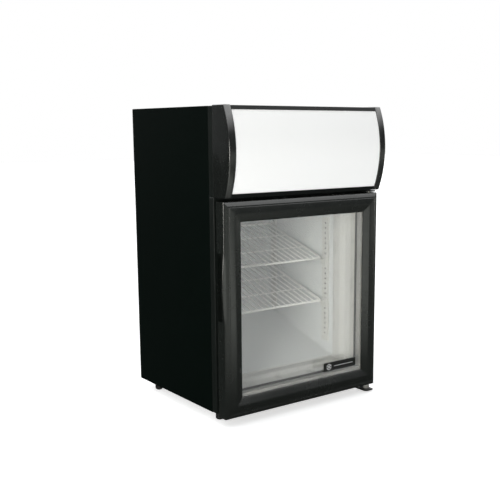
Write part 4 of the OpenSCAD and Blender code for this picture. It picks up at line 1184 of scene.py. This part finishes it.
def softbox(name, position, target, size, power, colour=(1, 1, 1)):
    lamp = bpy.data.lights.new(name, "AREA")
    lamp.shape = "RECTANGLE"
    lamp.size, lamp.size_y = size
    lamp.energy = power
    lamp.color = colour
    ob = add_object(name, lamp)
    ob.location = position
    aim = Vector(target) - Vector(position)
    ob.rotation_euler = aim.to_track_quat("-Z", "Y").to_euler()


def sky_lamp(strength):
    lamp = bpy.data.lights.new("ceiling_glow", "SUN")
    lamp.energy = strength
    lamp.color = (0.86, 0.96, 1.0)
    lamp.angle = radians(120)
    add_object("ceiling_glow", lamp).location = (0, 0, 3)


def make_world(bright, dim):
    """A white studio, dimmer to the front. Glossy faces see a dim wall under a bright ceiling."""
    world = bpy.data.worlds.new("studio")
    world.use_nodes = True
    nt = world.node_tree
    back = nt.nodes["Background"]
    fill(back, Color=(1, 1, 1, 1))
    split = add(nt, "SeparateXYZ")
    link(nt, add(nt, "TexCoord").outputs["Generated"], split.inputs[0])
    ahead = maths(nt, "MULTIPLY", split.outputs["Y"], -1.0)
    plain = span(nt, ahead, bright, dim, -0.15, 0.55)
    shine = span(nt, split.outputs["Z"], 0.16, 2.8, 0.28, 0.50)
    path = add(nt, "LightPath")
    glossy = add(nt, "Mix")
    link(nt, path.outputs["Is Glossy Ray"], glossy.inputs[0])
    link(nt, plain, glossy.inputs[2])
    link(nt, shine, glossy.inputs[3])
    seen = add(nt, "Mix")
    link(nt, path.outputs["Is Camera Ray"], seen.inputs[0])
    link(nt, glossy.outputs[0], seen.inputs[2])
    seen.inputs[3].default_value = 1.0
    link(nt, seen.outputs[0], back.inputs["Strength"])
    bpy.context.scene.world = world


def make_camera():
    yaw, pitch, roll = radians(37.136), radians(-9.941), radians(-0.179)
    forward = Vector((sin(yaw) * cos(pitch), cos(yaw) * cos(pitch), sin(pitch)))
    right = Vector((cos(yaw), -sin(yaw), 0))
    up = right.cross(forward)
    across = right * cos(roll) + up * sin(roll)
    above = up * cos(roll) - right * sin(roll)
    data = bpy.data.cameras.new("camera")
    data.sensor_width = 36.0
    data.lens = 59.9
    data.shift_x, data.shift_y = -0.0494, 0.0508
    data.clip_start, data.clip_end = 0.05, 60
    ob = add_object("camera", data)
    turn = Matrix((across, above, -forward)).transposed().to_4x4()
    turn.translation = (-1.1459, -1.5806, 0.6248)
    ob.matrix_world = turn
    bpy.context.scene.camera = ob


make_floor()
make_world(0.95, 0.06)
sky_lamp(0.60)
softbox("key", (-2.45, -1.9, 0.50), (0, 0, 0.35), (0.8, 0.7), 46, (1.0, 0.968, 0.91))
make_camera()
bpy.context.scene.view_settings.view_transform = "Standard"
